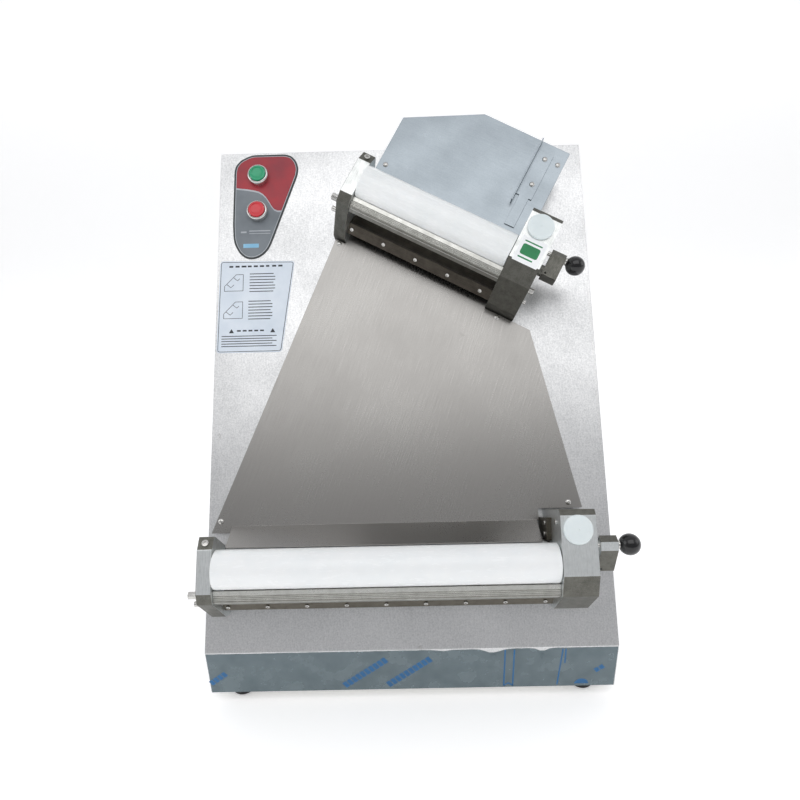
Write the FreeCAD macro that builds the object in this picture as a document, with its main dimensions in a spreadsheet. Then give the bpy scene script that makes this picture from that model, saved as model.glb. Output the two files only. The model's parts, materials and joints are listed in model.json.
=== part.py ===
import FreeCAD, Part
import math
import os
import re
import Sketcher

# Two-pass dough sheeter: a wedge-shaped casing with a sloping front panel that carries an
# inclined upper roller unit, a sloping chute and a level lower roller unit.
#
# World frame: +Z up, -Y is the side the user stands at, +X to the user's right.
# Panel frame: x to the right, y up the slope, z out of the panel.
# Unit frame: x along the rollers (0 at the gear housing's inner face), y up the slope,
# z out of the panel.

DRIVING_SIZES = {
    # casing
    "casing_width": 520, "slope_length": 688, "slope_angle": 59, "skirt_height": 64,
    "top_depth": 60, "sheet": 1.5, "foot_height": 15, "foot_radius": 15, "foot_inset": 36,
    "foot_setback": 24, "centre_shift_x": -3.65, "centre_shift_y": -198.04,
    # roller units, in the unit frame
    "roller_radius": 23, "rear_axis_height": 23.3, "axis_offset": 1.8, "end_play": 0.8,
    "gap_min": 0.7, "gap_max": 4, "shaft_core": 8, "front_journal": 5, "rear_journal": 6,
    "running_fit": 0.05, "journal_length": 12.5,
    "lower_length": 402.5, "lower_x": 434.3, "lower_y": 106.65, "lower_turn": 0,
    "upper_length": 215.1, "upper_x": 398.7, "upper_y": 491, "upper_turn": -28.5,
    "left_width": 17.8, "housing_width": 41.1, "housing_inner_wall": 9, "housing_outer_wall": 3.1,
    "slide_width": 18, "slide_height": 14, "slide_fit": 0.1,
    # gear train
    "pitch_radius": 12, "teeth": 12, "tip_radius": 14.6, "root_radius": 9.1,
    "mesh_distance": 24.2, "train_distance": 24.15, "idler_shaft": 4,
    "first_plane": 10, "second_plane": 19.5, "gear_face": 7.5, "belt_plane": 28.5,
    "belt_width": 8, "belt_thickness": 2, "belt_clearance": 0.3, "pulley_radius": 14,
    "motor_depth": 85, "motor_radius": 34, "motor_length": 130,
    # thickness lever and its index plunger
    "lever_height": 62, "lever_inner": 46, "lever_outer": 66, "lever_shaft": 6,
    "lever_hub": 9, "lever_half": 8, "lever_reach": 34, "pin_reach": 27, "pin_radius": 3,
    "lever_low": -5, "lever_high": 55, "lower_lever_angle": 43, "upper_lever_angle": -5,
    "knob_radius": 12.5, "knob_centre": 80.5, "knob_neck": 5,
    # plates and trim
    "chute_height": 8.5, "infeed_height": 49, "plug_radius": 16.8, "plug_proud": 4,
    "screw_pitch": 48.3, "screw_first": 6, "dome_radius": 3.6,
    "button_x": 56, "start_y": 650.2, "stop_y": 594.8, "bezel_radius": 14.75,
    "button_radius": 11.2, "button_hole": 11.1,
}


class Builder:
    """Holds the document, its sheet of sizes and the sub-parts made so far."""

    def __init__(self):
        self.doc = FreeCAD.newDocument("DoughSheeter")
        self.sheet = self.doc.addObject("Spreadsheet::Sheet", "Sizes")
        for row, (alias, size) in enumerate(DRIVING_SIZES.items(), start=1):
            self.sheet.set(f"A{row}", alias)
            self.sheet.set(f"B{row}", str(size))
            self.sheet.setAlias(f"B{row}", alias)
        self.doc.recompute()
        self.parts = {}

    def size(self, alias):
        return float(self.sheet.get(alias))

    def formula(self, text):
        """Writes a formula of aliases the way the sheet's expressions need it."""
        known = DRIVING_SIZES
        return re.sub(r"[a-z_]+", lambda word: f"Sizes.{word[0]}" if word[0] in known else word[0],
                      str(text))

    def bind(self, item, **properties):
        for name, text in properties.items():
            item.setExpression(name, self.formula(text))

    # ---- PartDesign ---------------------------------------------------------------

    def body(self, label, frame):
        body = self.doc.addObject("PartDesign::Body", label)
        body.Label = label
        body.Placement = frame
        self.parts[label] = body
        return body

    def sketch(self, body, plane, start=0, turned=None):
        """An empty sketch on an origin plane of its body, raised by start along the normal."""
        sketch = body.newObject("Sketcher::SketchObject", f"{body.Name}_sketch")
        origin_plane = next(f for f in body.Origin.OriginFeatures if f.Role == f"{plane}_Plane")
        sketch.AttachmentSupport = [(origin_plane, "")]
        sketch.MapMode = "FlatFace"
        if turned is not None:
            sketch.AttachmentOffset = turned
        else:
            sketch.setExpression(".AttachmentOffset.Base.z", self.formula(start))
        return sketch

    def pin_down(self, sketch, geometry, point, across, up):
        """Ties one point of the sketch to formulas for its two coordinates."""
        here = sketch.getPoint(geometry, point)
        for kind, start, text in (("DistanceX", here.x, across), ("DistanceY", here.y, up)):
            index = sketch.addConstraint(
                sketch_constraint(kind, -1, 1, geometry, point, start))
            sketch.setExpression(f"Constraints[{index}]", self.formula(text))

    def outline(self, sketch, corners):
        """A closed outline of straight edges through corners given as formulas."""
        count = len(corners)
        first = sketch.GeometryCount
        spots = [FreeCAD.Vector(100 * math.cos(2 * math.pi * i / count),
                                100 * math.sin(2 * math.pi * i / count), 0) for i in range(count)]
        for i in range(count):
            sketch.addGeometry(Part.LineSegment(spots[i], spots[(i + 1) % count]), False)
        for i in range(count):
            following = first + (i + 1) % count
            sketch.addConstraint(sketch_constraint("Coincident", first + i, 2, following, 1))
        for i, (across, up) in enumerate(corners):
            self.pin_down(sketch, first + i, 1, across, up)

    def circle(self, sketch, across, up, radius):
        index = sketch.addGeometry(Part.Circle(FreeCAD.Vector(1, 1, 0), FreeCAD.Vector(0, 0, 1), 5))
        self.pin_down(sketch, index, 3, across, up)
        ring = sketch.addConstraint(sketch_constraint("Radius", index, 5))
        sketch.setExpression(f"Constraints[{ring}]", self.formula(radius))

    def grow(self, body, sketch, length, midplane=False):
        pad = body.newObject("PartDesign::Pad", f"{body.Name}_pad")
        pad.Profile = sketch
        self.bind(pad, Length=length)
        pad.Midplane = midplane
        sketch.Visibility = False
        return pad

    def carve(self, body, sketch, length, reverse=False, midplane=False):
        """Cuts the sketch's shape out of the body and makes sure that it cut something."""
        self.doc.recompute()
        before = body.Shape.Volume
        pocket = body.newObject("PartDesign::Pocket", f"{body.Name}_pocket")
        pocket.Profile = sketch
        self.bind(pocket, Length=length)
        pocket.Reversed = reverse
        pocket.Midplane = midplane
        self.doc.recompute()
        if body.Shape.Volume > before - 0.1:
            raise RuntimeError(f"{pocket.Label} cut nothing")
        return pocket

    # ---- Part primitives ----------------------------------------------------------

    def cylinder(self, name, radius, height, at, along=(1, 0, 0)):
        """A cylinder that starts at formulas for its place and runs along a direction."""
        item = self.doc.addObject("Part::Cylinder", name)
        self.bind(item, Radius=radius, Height=height)
        item.Placement.Rotation = FreeCAD.Rotation(FreeCAD.Vector(0, 0, 1), FreeCAD.Vector(*along))
        self.set_place(item, at)
        return item

    def sphere(self, name, radius, at):
        item = self.doc.addObject("Part::Sphere", name)
        self.bind(item, Radius=radius)
        self.set_place(item, at)
        return item

    def block(self, name, sizes, at):
        item = self.doc.addObject("Part::Box", name)
        self.bind(item, Length=sizes[0], Width=sizes[1], Height=sizes[2])
        self.set_place(item, at)
        return item

    def set_place(self, item, at):
        for axis, text in zip("xyz", at):
            item.setExpression(f".Placement.Base.{axis}", self.formula(text))

    def join(self, label, items, frame=None):
        fused = self.doc.addObject("Part::MultiFuse", label)
        fused.Shapes = items
        return self.keep(fused, label, frame)

    def cut(self, label, base, tool, frame=None):
        result = self.doc.addObject("Part::Cut", label)
        result.Base = base
        result.Tool = tool
        return self.keep(result, label, frame)

    def group(self, label, items, frame):
        """Several separate solids that share one node."""
        compound = self.doc.addObject("Part::Compound", label)
        compound.Links = items
        return self.keep(compound, label, frame)

    def keep(self, item, label, frame):
        """Names a shape, and makes it a sub-part when it is given a frame."""
        item.Label = label
        if frame is not None:
            item.Placement = frame
            self.parts[label] = item
        return item


def sketch_constraint(kind, *numbers):

    return Sketcher.Constraint(kind, *numbers)


# ---- frames -----------------------------------------------------------------------

def placement(x, y, z, axis=(0, 0, 1), angle=0):
    return FreeCAD.Placement(FreeCAD.Vector(x, y, z), FreeCAD.Rotation(FreeCAD.Vector(*axis), angle))


class Frames:
    """The frames that the sub-parts are placed in, worked out from the sheet."""

    def __init__(self, builder):
        size = builder.size
        self.base = placement(size("centre_shift_x"), size("centre_shift_y"), 0)
        self.panel_in_base = placement(-size("casing_width") / 2, 0,
                                       size("foot_height") + size("skirt_height"),
                                       (1, 0, 0), size("slope_angle"))
        self.panel = self.base * self.panel_in_base
        self.unit_in_panel = {
            unit: placement(size(f"{unit}_x"), size(f"{unit}_y"), 0, (0, 0, 1), size(f"{unit}_turn"))
            for unit in ("lower", "upper")}
        self.unit = {unit: self.panel * place for unit, place in self.unit_in_panel.items()}


# ---- casing -----------------------------------------------------------------------

INNER = "(casing_width - 2 * sheet)"
RISE = "slope_length * sin(slope_angle * 1deg)"
RUN = "slope_length * cos(slope_angle * 1deg)"
TOP = f"(foot_height + skirt_height + {RISE})"
DEPTH = f"({RUN} + top_depth)"


def make_casing(b, frames):
    """The bent and welded sheet shell: skirt, sloping panel, top and two sides."""
    body = b.body("casing", frames.base)
    outer = b.sketch(body, "YZ")
    b.outline(outer, [("0", "foot_height"), ("0", "foot_height + skirt_height"), (RUN, TOP),
                      (DEPTH, TOP), (DEPTH, "foot_height")])
    b.grow(body, outer, "casing_width", midplane=True)
    inner = b.sketch(body, "YZ")
    lean = "slope_angle * 1deg"
    b.outline(inner, [
        ("sheet", "foot_height - 5"),
        ("sheet", f"foot_height + skirt_height + sheet * (1 - sin({lean})) * tan({lean})"
                  f" - sheet * cos({lean})"),
        (f"({RISE} - sheet + sheet * cos({lean})) / tan({lean}) + sheet * sin({lean})",
         f"{TOP} - sheet"),
        (f"{DEPTH} + 5", f"{TOP} - sheet"),
        (f"{DEPTH} + 5", "foot_height - 5")])
    b.carve(body, inner, INNER, midplane=True)
    buttons = b.sketch(body, "XY", turned=frames.panel_in_base)
    for height in ("start_y", "stop_y"):
        b.circle(buttons, "button_x", height, "button_hole")
    b.carve(body, buttons, "10 * sheet", midplane=True)
    for unit in ("lower", "upper"):
        slot = b.sketch(body, "XY", turned=frames.panel_in_base * frames.unit_in_panel[unit])
        reach = "(pulley_radius + belt_clearance + belt_thickness + 1.5)"
        b.outline(slot, [("belt_plane - 1.5", f"axis_offset - {reach}"),
                         ("belt_plane + belt_width + 1.5", f"axis_offset - {reach}"),
                         ("belt_plane + belt_width + 1.5", f"axis_offset + {reach}"),
                         ("belt_plane - 1.5", f"axis_offset + {reach}")])
        b.carve(body, slot, "10 * sheet", midplane=True)


def make_base_plate(b, frames):
    body = b.body("base_plate", frames.base)
    plate = b.sketch(body, "XY", start="foot_height")
    half = f"({INNER} / 2)"
    b.outline(plate, [(f"-{half}", "sheet"), (half, "sheet"), (half, DEPTH), (f"-{half}", DEPTH)])
    b.grow(body, plate, "sheet")


def make_back_cover(b, frames):
    """Flat rear cover with two rows of vent slots; it closes the open back."""
    body = b.body("back_cover", frames.base)
    vent_count = 9
    plate = b.sketch(body, "XZ", start=f"-({DEPTH} + sheet)")
    half = "(casing_width / 2)"
    b.outline(plate, [(f"-{half}", "foot_height"), (half, "foot_height"), (half, TOP), (f"-{half}", TOP)])
    b.grow(body, plate, "sheet")
    vents = b.sketch(body, "XZ", start=f"-({DEPTH} + sheet)")
    for row in (200, 480):
        for i in range(vent_count):
            low = f"{row} + {i * 12}"
            b.outline(vents, [("-70", low), ("70", low), ("70", f"{low} + 4"), ("-70", f"{low} + 4")])
    b.carve(body, vents, "sheet", reverse=True)
    gland = b.sketch(body, "XZ", start=f"-({DEPTH} + sheet)")
    b.circle(gland, "-casing_width / 2 + 70", "foot_height + 55", "10.2")
    b.carve(body, gland, "sheet", reverse=True)


def make_feet(b, frames):
    """Four rubber feet, wider at the bottom than at the top."""
    feet = []
    across = "(casing_width / 2 - foot_inset)"
    for x in (f"-{across}", across):
        for y in ("foot_setback", f"{DEPTH} - foot_setback - 10"):
            foot = b.doc.addObject("Part::Cone", "foot")
            b.bind(foot, Radius1="foot_radius", Radius2="foot_radius - 2.5", Height="foot_height")
            b.set_place(foot, (x, y, "0"))
            feet.append(foot)
    b.group("feet", feet, frames.base)


def make_cable_gland(b, frames):
    """Where the mains lead leaves the back: a hollow threaded body with a dome nut."""
    at_side = "-casing_width / 2 + 70"
    height = "foot_height + 55"
    pieces = []
    for name, radius, length, start in (("gland_body", "10", "14", f"{DEPTH} - 8"),
                                        ("gland_nut", "14", "12", f"{DEPTH} + sheet")):
        pieces.append(b.cylinder(name, radius, length, (at_side, start, height), (0, 1, 0)))
    bore = b.cylinder("gland_bore", "4.5", "60", (at_side, f"{DEPTH} - 20", height), (0, 1, 0))
    b.cut("cable_gland", b.join("gland_solid", pieces), bore, frames.base)


def make_terminal_box(b, frames):
    b.join("terminal_box", [b.block("terminal_case", ("120", "60", "90"),
                                    ("-casing_width / 2 + 110", f"{DEPTH} - 90", "foot_height + sheet")),
                            b.block("terminal_lid", ("114", "54", "8"),
                                    ("-casing_width / 2 + 113", f"{DEPTH} - 87",
                                     "foot_height + sheet + 90"))], frames.base)


# ---- controls and plates on the panel ------------------------------------------------

def make_flat_plate(b, label, frame, corners, height, thickness, holes=()):
    """A flat plate lying in the panel's plane."""
    body = b.body(label, frame)
    plate = b.sketch(body, "XY", start=height)
    b.outline(plate, corners)
    b.grow(body, plate, thickness)
    if holes:
        cutouts = b.sketch(body, "XY", start=height)
        for across, up, radius in holes:
            b.circle(cutouts, across, up, radius)
        b.carve(body, cutouts, thickness, reverse=True)
    return body


def make_controls(b, frames):
    """Control overlay, instruction label, and the start and stop buttons."""
    holes = [("button_x", "start_y", "button_hole"), ("button_x", "stop_y", "button_hole")]
    make_flat_plate(b, "control_overlay", frames.panel,
                    [("20.3", "577"), ("21.8", "555"), ("24.5", "545"), ("30.6", "533.9"),
                     ("38.8", "526.5"), ("46.9", "524.3"), ("55", "525.3"), ("64", "530"),
                     ("71.9", "538.8"), ("76.3", "548.7"), ("111.8", "651"), ("113.2", "662.3"),
                     ("110", "673.4"), ("103", "682"), ("93.5", "685"), ("47", "685"),
                     ("39", "682.3"), ("28.5", "676.5"), ("22", "668"), ("20.3", "659.8")],
                    "0", "0.8", holes)
    make_flat_plate(b, "instruction_label", frames.panel,
                    [("4", "522.5"), ("109", "520.5"), ("92.5", "389"), ("2.5", "389")], "0", "0.3")
    for button, height in (("start", "start_y"), ("stop", "stop_y")):
        at = ("button_x", height)
        body = b.body(f"{button}_bezel", frames.panel)
        for start, length, radius in (("0.8", "9.7", "bezel_radius"), ("-18", "18.8", "button_hole - 0.1")):
            ring = b.sketch(body, "XY", start=start)
            b.circle(ring, *at, radius)
            b.grow(body, ring, length)
        well = b.sketch(body, "XY", start="-18")
        b.circle(well, *at, "button_radius - 1.9")
        b.carve(body, well, "40", reverse=True)
        rim = b.sketch(body, "XY", start="6.8")
        b.circle(rim, *at, "button_radius + 0.3")
        b.carve(body, rim, "10", reverse=True)
        cap = b.body(f"{button}_button", frames.panel)
        for start, length, radius in (("9.5", "3", "button_radius"),
                                      ("-12", "21.5", "button_radius - 2.5")):
            disc = b.sketch(cap, "XY", start=start)
            b.circle(disc, *at, radius)
            b.grow(cap, disc, length)
    blocks = [b.block("switch_block", ("30", "30", "24"), ("button_x - 15", f"{height} - 15", "-42.3"))
              for height in ("start_y", "stop_y")]
    b.group("switch_blocks", blocks, frames.panel)


def make_chute(b, frames):
    """The trapezoid chute with turned-down side edges, and its lower lead-in ramp."""
    height = "chute_height"
    upper = frames.unit_in_panel["upper"]
    left_top, left_notch, tongue_left, tongue_right, right_notch, right_top = [
        tuple(f"{spot:.3f}" for spot in tuple(upper.multVec(FreeCAD.Vector(x, y, 0)))[:2])
        for x, y in ((-229.5, -60.5), (-214.5, -60.5), (-214.5, -40), (-0.6, -40), (-0.6, -57.5),
                     (67.3, -57.5))]
    right_low = ("483.5", "171")
    body = make_flat_plate(b, "chute_plate", frames.panel,
                           [("7.2", "148"), ("33.5", "148"), ("33.5", "156"), ("427", "156"),
                            ("427", "171"), right_low, right_top, right_notch,
                            tongue_right, tongue_left, left_notch, left_top],
                           height, "sheet", ())
    for (x1, y1), (x2, y2), inward in ((("10", "156"), left_top, 1.5), (right_low, right_top, -1.5)):
        edge = b.sketch(body, "XY", start="0.3")
        b.outline(edge, [(x1, y1), (x2, y2), (f"{x2} + {inward}", y2), (f"{x1} + {inward}", y1)])
        b.grow(body, edge, "chute_height")
    ramp = b.sketch(body, "YZ", start="lower_x - lower_length + 2")
    b.outline(ramp, [("156.6", f"{height} + sheet"), ("156", height), ("130.5", "38.6"),
                     ("131.6", "39.7")])
    b.grow(body, ramp, "lower_length - 12")


def make_infeed(b, frames):
    """The flat infeed plate above the upper rollers, and its bracket, rail and guides."""
    body = make_flat_plate(b, "infeed_plate", frames.unit["upper"],
                           [("-217", "34.5"), ("-1", "31"), ("-1", "66"), ("9", "66"), ("9", "177"),
                            ("-120", "179"), ("-218", "124")],
                           "infeed_height", "sheet", ())
    lip = b.sketch(body, "XY", start="infeed_height - 8")
    b.outline(lip, [("-120", "179"), ("9", "177"), ("9", "175.5"), ("-120", "177.5")])
    b.grow(body, lip, "8.3")
    top = "(infeed_height + sheet)"
    strip = b.block("rail_strip", ("18", "72", "sheet"), ("-27", "91", top))
    wall = b.block("rail_wall", ("sheet", "100", "10"), ("-33", "76", top))
    hook = b.block("rail_hook", ("6.1", "72", "sheet"), ("-33", "91", f"{top}"))
    guide = b.block("guide_flange", ("14", "46", "sheet"), ("-27", "45", top))
    legs = [b.block("support_leg", ("14", "sheet", "infeed_height"), (x, y, "0"))
            for x, y in (("-200", "88"), ("-14", "100"))]
    feet = [b.block("support_foot", ("14", "14", "sheet"), (x, y, "0"))
            for x, y in (("-200", "89"), ("-14", "101"))]
    b.group("infeed_bracket", [b.join("rail", [strip, wall, hook, guide])]
            + [b.join("support", list(pair)) for pair in zip(legs, feet)], frames.unit["upper"])


def dome_screw(b, at):
    """A dome-headed screw standing on a surface, its head as a low cap."""
    head = b.sphere("dome", "dome_radius * 1.25", (at[0], at[1], f"{at[2]} - dome_radius * 0.75"))
    clip = b.block("dome_clip", ("20", "20", "10"), (f"{at[0]} - 10", f"{at[1]} - 10", at[2]))
    trimmed = b.doc.addObject("Part::Common", "dome_screw")
    trimmed.Base = head
    trimmed.Tool = clip
    return trimmed


def make_dome_screws(b, frames):
    """Dome screws of the chute, in panel places, and of the infeed plate."""
    screws = []
    chute_top = "(chute_height + sheet)"
    spots = [(19, 163), (466, 178)]
    for across, up in ((20, -61.8), (-222, -64.8)):
        spots.append(tuple(frames.unit_in_panel["upper"].multVec(FreeCAD.Vector(across, up, 0)))[:2])
    for x, y in spots:
        screws.append(dome_screw(b, (f"{x:.3f}", f"{y:.3f}", chute_top)))
    infeed = []
    for x, y, z in (("-207", "50", "infeed_height + sheet"), ("1", "154", "infeed_height + sheet"),
                    ("-18", "153", "infeed_height + 2 * sheet"),
                    ("-18", "112", "infeed_height + 2 * sheet")):
        infeed.append(dome_screw(b, (x, y, f"({z})")))
    upper = b.doc.addObject("Part::Compound", "infeed_screws")
    upper.Links = infeed
    upper.Placement = frames.unit_in_panel["upper"]
    b.group("dome_screws", screws + [upper], frames.panel)


# ---- roller units -------------------------------------------------------------------

FRONT_MAX = "(rear_axis_height + 2 * roller_radius + gap_max)"
FRONT_MIN = "(rear_axis_height + 2 * roller_radius + gap_min)"
IDLER_HEIGHT = f"({FRONT_MIN} - mesh_distance)"
TRANSFER_RISE = f"(({IDLER_HEIGHT} - rear_axis_height) / 2)"
TRANSFER_HEIGHT = f"(rear_axis_height + {TRANSFER_RISE})"
TRANSFER_OFFSET = f"(axis_offset - sqrt(train_distance ^ 2 - {TRANSFER_RISE} ^ 2))"
SLOT_SIDE = "(slide_width / 2 + slide_fit)"
SLOT_LOW = f"({FRONT_MIN} - slide_height / 2 - 0.4)"
SLOT_HIGH = f"({FRONT_MAX} + slide_height / 2 + 0.4)"
SLIDE_SLOT = [(f"axis_offset - {SLOT_SIDE}", SLOT_LOW), (f"axis_offset + {SLOT_SIDE}", SLOT_LOW),
              (f"axis_offset + {SLOT_SIDE}", SLOT_HIGH), (f"axis_offset - {SLOT_SIDE}", SLOT_HIGH)]


class Unit:
    """One pair of rollers with its end blocks, gear train, drive and thickness lever."""

    def __init__(self, builder, frames, name):
        self.b = builder
        self.name = name
        self.frame = frames.unit[name]
        self.length = f"{name}_length"
        size = builder.size
        share = ((size(f"{name}_lever_angle") - size("lever_low"))
                 / (size("lever_high") - size("lever_low")))
        self.gap = size("gap_max") - share * (size("gap_max") - size("gap_min"))
        self.front_height = size("rear_axis_height") + 2 * size("roller_radius") + self.gap
        self.lever_frame = self.frame * placement(
            0, size("axis_offset"), size("lever_height"), (1, 0, 0), size(f"{name}_lever_angle"))

    def label(self, name):
        return f"{self.name}_{name}"

    def on_axis(self, height):
        """A frame whose x axis is the front roller's own axis."""
        return self.frame * placement(0, self.b.size("axis_offset"), height)

    def profile_pad(self, label, corners, start, length):
        """A solid whose outline, across the rollers, runs straight along them."""
        body = self.b.body(self.label(label), self.frame)
        outline = self.b.sketch(body, "YZ", start=start)
        self.b.outline(outline, corners)
        self.b.grow(body, outline, length)
        return body

    def bore(self, body, across, up, radius, start, depth):
        hole = self.b.sketch(body, "YZ", start=start)
        self.b.circle(hole, across, up, radius)
        self.b.carve(body, hole, depth, reverse=True)

    def make_left_block(self):
        inner = f"-{self.length} - 13"
        body = self.profile_pad("left_block", [
            ("22", "0"), ("22", "12"), ("39.9", "72"), ("39.9", "76.2"), ("25.3", "82.7"),
            ("-24.7", "82.7"), ("-37", "75.8"), ("-59.3", "19"), ("-59.3", "0")],
            f"-{self.length} - left_width", "left_width")
        slot = self.b.sketch(body, "YZ", start=inner)
        self.b.outline(slot, SLIDE_SLOT)
        self.b.carve(body, slot, "20", reverse=True)
        self.bore(body, "axis_offset", "rear_axis_height", "rear_journal + running_fit", inner, "20")

    def make_gear_housing(self):
        body = self.profile_pad("gear_housing", [
            ("62.7", "0"), ("62.7", "87.5"), ("56.1", "91.6"), ("-11.7", "91.6"), ("-35.5", "79.8"),
            ("-55.7", "31.5"), ("-55.7", "0")], "0", "housing_width")
        cavity = self.b.sketch(body, "YZ", start="housing_inner_wall")
        self.b.outline(cavity, [("59", "-1"), ("59", "85.5"), ("54", "88.3"), ("-10.8", "88.3"),
                                ("-32.8", "77.4"), ("-52.2", "30.8"), ("-52.2", "-1")])
        self.b.carve(body, cavity, "housing_width - housing_inner_wall - housing_outer_wall",
                     reverse=True)
        slot = self.b.sketch(body, "YZ", start="-1")
        self.b.outline(slot, SLIDE_SLOT)
        self.b.carve(body, slot, "housing_inner_wall + 1", reverse=True)
        fit = "+ running_fit"
        outer = "housing_width - housing_outer_wall - 1"
        self.bore(body, "axis_offset", "rear_axis_height", f"rear_journal {fit}", "-1", "12")
        for across, up in ((TRANSFER_OFFSET, TRANSFER_HEIGHT), ("axis_offset", IDLER_HEIGHT)):
            self.bore(body, across, up, f"idler_shaft {fit}", "housing_inner_wall - 3.2", "6")
            self.bore(body, across, up, f"idler_shaft {fit}", outer, "8")
        self.bore(body, "axis_offset", "lever_height", f"lever_shaft {fit}", outer, "8")
        plug_hole = self.b.sketch(body, "XY", start="80")
        self.b.circle(plug_hole, "19.25", "39.75", "14.1")
        self.b.carve(body, plug_hole, "20", reverse=True)
        self.b.parts.pop(self.label("gear_housing"))
        body.Label = self.label("housing_blank")
        self.cut_index_slot(body)

    def cut_index_slot(self, blank):
        """The curved slot that the index pin travels in; its ends stop the lever."""
        b = self.b
        size = b.size
        wide = "(pin_radius + 0.3)"
        begin = "housing_width - housing_outer_wall - 0.5"
        sector = []
        for name, radius in (("slot_outer", f"pin_reach + {wide}"), ("slot_inner", f"pin_reach - {wide}")):
            ring = b.cylinder(self.label(name), radius, "6", (begin, "axis_offset", "lever_height"))
            ring.Placement.Rotation = (FreeCAD.Rotation(FreeCAD.Vector(1, 0, 0), size("lever_low") + 90)
                                       * ring.Placement.Rotation)
            b.bind(ring, Angle="lever_high - lever_low")
            sector.append(ring)
        sector[1].setExpression("Angle", "360")
        pieces = [b.cut(self.label("slot_band"), sector[0], sector[1])]
        for end in ("lever_low", "lever_high"):
            pieces.append(b.cylinder(self.label("slot_end"), wide, "6", (
                begin, f"axis_offset + pin_reach * cos({end} * 1deg)",
                f"lever_height + pin_reach * sin({end} * 1deg)")))
        slot = b.join(self.label("index_slot"), pieces)
        blank.Placement = FreeCAD.Placement()
        b.cut(self.label("gear_housing"), blank, slot, self.frame)

    def make_cheek_plate(self):
        self.profile_pad("cheek_plate", [("26", "0.3"), ("53", "0.3"), ("53", "48"), ("26", "43")],
                         "-6", "6")

    def make_roller(self, which, height, journal, end):
        """A plastic roller on its steel shaft; the journals run on past both its ends."""
        b = self.b
        frame = self.on_axis(height)
        roller = b.body(self.label(f"{which}_roller"), frame)
        rings = b.sketch(roller, "YZ", start=f"-{self.length} + end_play")
        for radius in ("roller_radius", "shaft_core"):
            b.circle(rings, "0", "0", radius)
        b.grow(roller, rings, f"{self.length} - 2 * end_play")
        shaft = b.body(self.label(f"{which}_shaft"), frame)
        tail = f"-{self.length} - journal_length"
        for radius, start, finish in (("shaft_core", f"-{self.length} + end_play", "-end_play"),
                                      (journal, tail, end)):
            disc = b.sketch(shaft, "YZ", start=start)
            b.circle(disc, "0", "0", radius)
            b.grow(shaft, disc, f"{finish} - ({start})")

    def make_gear(self, label, across, height, phase, start, face, bore=None):
        """A straight-sided twelve-tooth gear about its own axis, turned by its phase."""
        b = self.b
        gear = b.body(self.label(label), self.frame * placement(0, across, height, (1, 0, 0), phase))
        disc = b.sketch(gear, "YZ", start=start)
        b.circle(disc, "0", "0", "root_radius")
        b.grow(gear, disc, face)
        tooth = b.sketch(gear, "YZ", start=start)
        b.outline(tooth, [("root_radius - 1", "-2"), ("tip_radius", "-0.38"),
                          ("tip_radius", "0.38"), ("root_radius - 1", "2")])
        pad = b.grow(gear, tooth, face)
        b.doc.recompute()
        pattern = gear.newObject("PartDesign::PolarPattern", f"{gear.Name}_teeth")
        pattern.Originals = [pad]
        x_axis = next(f for f in gear.Origin.OriginFeatures if f.Role == "X_Axis")
        pattern.Axis = (x_axis, [""])
        pattern.Angle = 360
        b.bind(pattern, Occurrences="teeth")
        gear.Tip = pattern
        b.doc.recompute()
        if bore is not None:
            hole = b.sketch(gear, "YZ", start=f"{start} - 1")
            b.circle(hole, "0", "0", bore)
            b.carve(gear, hole, f"{face} + 2", reverse=True)
        return gear

    def add_disc(self, body, radius, start, length):
        disc = self.b.sketch(body, "YZ", start=start)
        self.b.circle(disc, "0", "0", radius)
        self.b.grow(body, disc, length)

    def make_gear_train(self):
        """Drive gear on the rear shaft, two idlers, and the front roller's gear."""
        size = self.b.size
        axis = size("axis_offset")
        low = size("rear_axis_height")
        high = low + 2 * size("roller_radius") + size("gap_min") - size("mesh_distance")
        rise = (high - low) / 2
        side = axis - math.sqrt(size("train_distance") ** 2 - rise ** 2)
        half_pitch = 180 / size("teeth")
        places = [(axis, low), (side, low + rise), (axis, high), (axis, self.front_height)]
        phases = [0]
        for (x1, z1), (x2, z2) in zip(places, places[1:]):
            towards = math.degrees(math.atan2(z2 - z1, x2 - x1))
            phases.append(2 * towards + 180 - phases[-1] + half_pitch)
        drive = self.make_gear("drive_gear", *places[0], phases[0], "first_plane", "gear_face")
        self.add_disc(drive, "rear_journal + 1", "first_plane", "belt_plane - first_plane")
        self.add_disc(drive, "pulley_radius", "belt_plane", "belt_width")
        hole = self.b.sketch(drive, "YZ", start="0")
        self.b.circle(hole, "0", "0", "rear_journal")
        self.b.carve(drive, hole, "60", reverse=True)
        transfer = self.make_gear("transfer_gear", *places[1], phases[1], "first_plane",
                                  "second_plane + gear_face - first_plane")
        idler = self.make_gear("idler_gear", *places[2], phases[2], "second_plane", "gear_face")
        for gear in (transfer, idler):
            self.add_disc(gear, "idler_shaft", "housing_inner_wall - 3",
                          "housing_width - housing_inner_wall + 3")
        self.make_gear("front_gear", *places[3], phases[3], "second_plane", "gear_face",
                       "front_journal")

    def make_bearing_slides(self):
        """Two square bearing blocks that carry the front shaft and set the gap."""
        b = self.b
        frame = self.on_axis(self.front_height)
        slides = []
        for start, depth in ((f"-{self.length} - journal_length", "journal_length"),
                             ("0.2", "housing_inner_wall - 0.4")):
            block = b.block(self.label("slide_block"), (depth, "slide_width", "slide_height"),
                            (start, "-slide_width / 2", "-slide_height / 2"))
            bore = b.cylinder(self.label("slide_bore"), "front_journal + running_fit", "60",
                              (f"{start} - 20", "0", "0"))
            slides.append(b.cut(self.label("slide"), block, bore))
        b.group(self.label("bearing_slides"), slides, frame)

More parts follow.
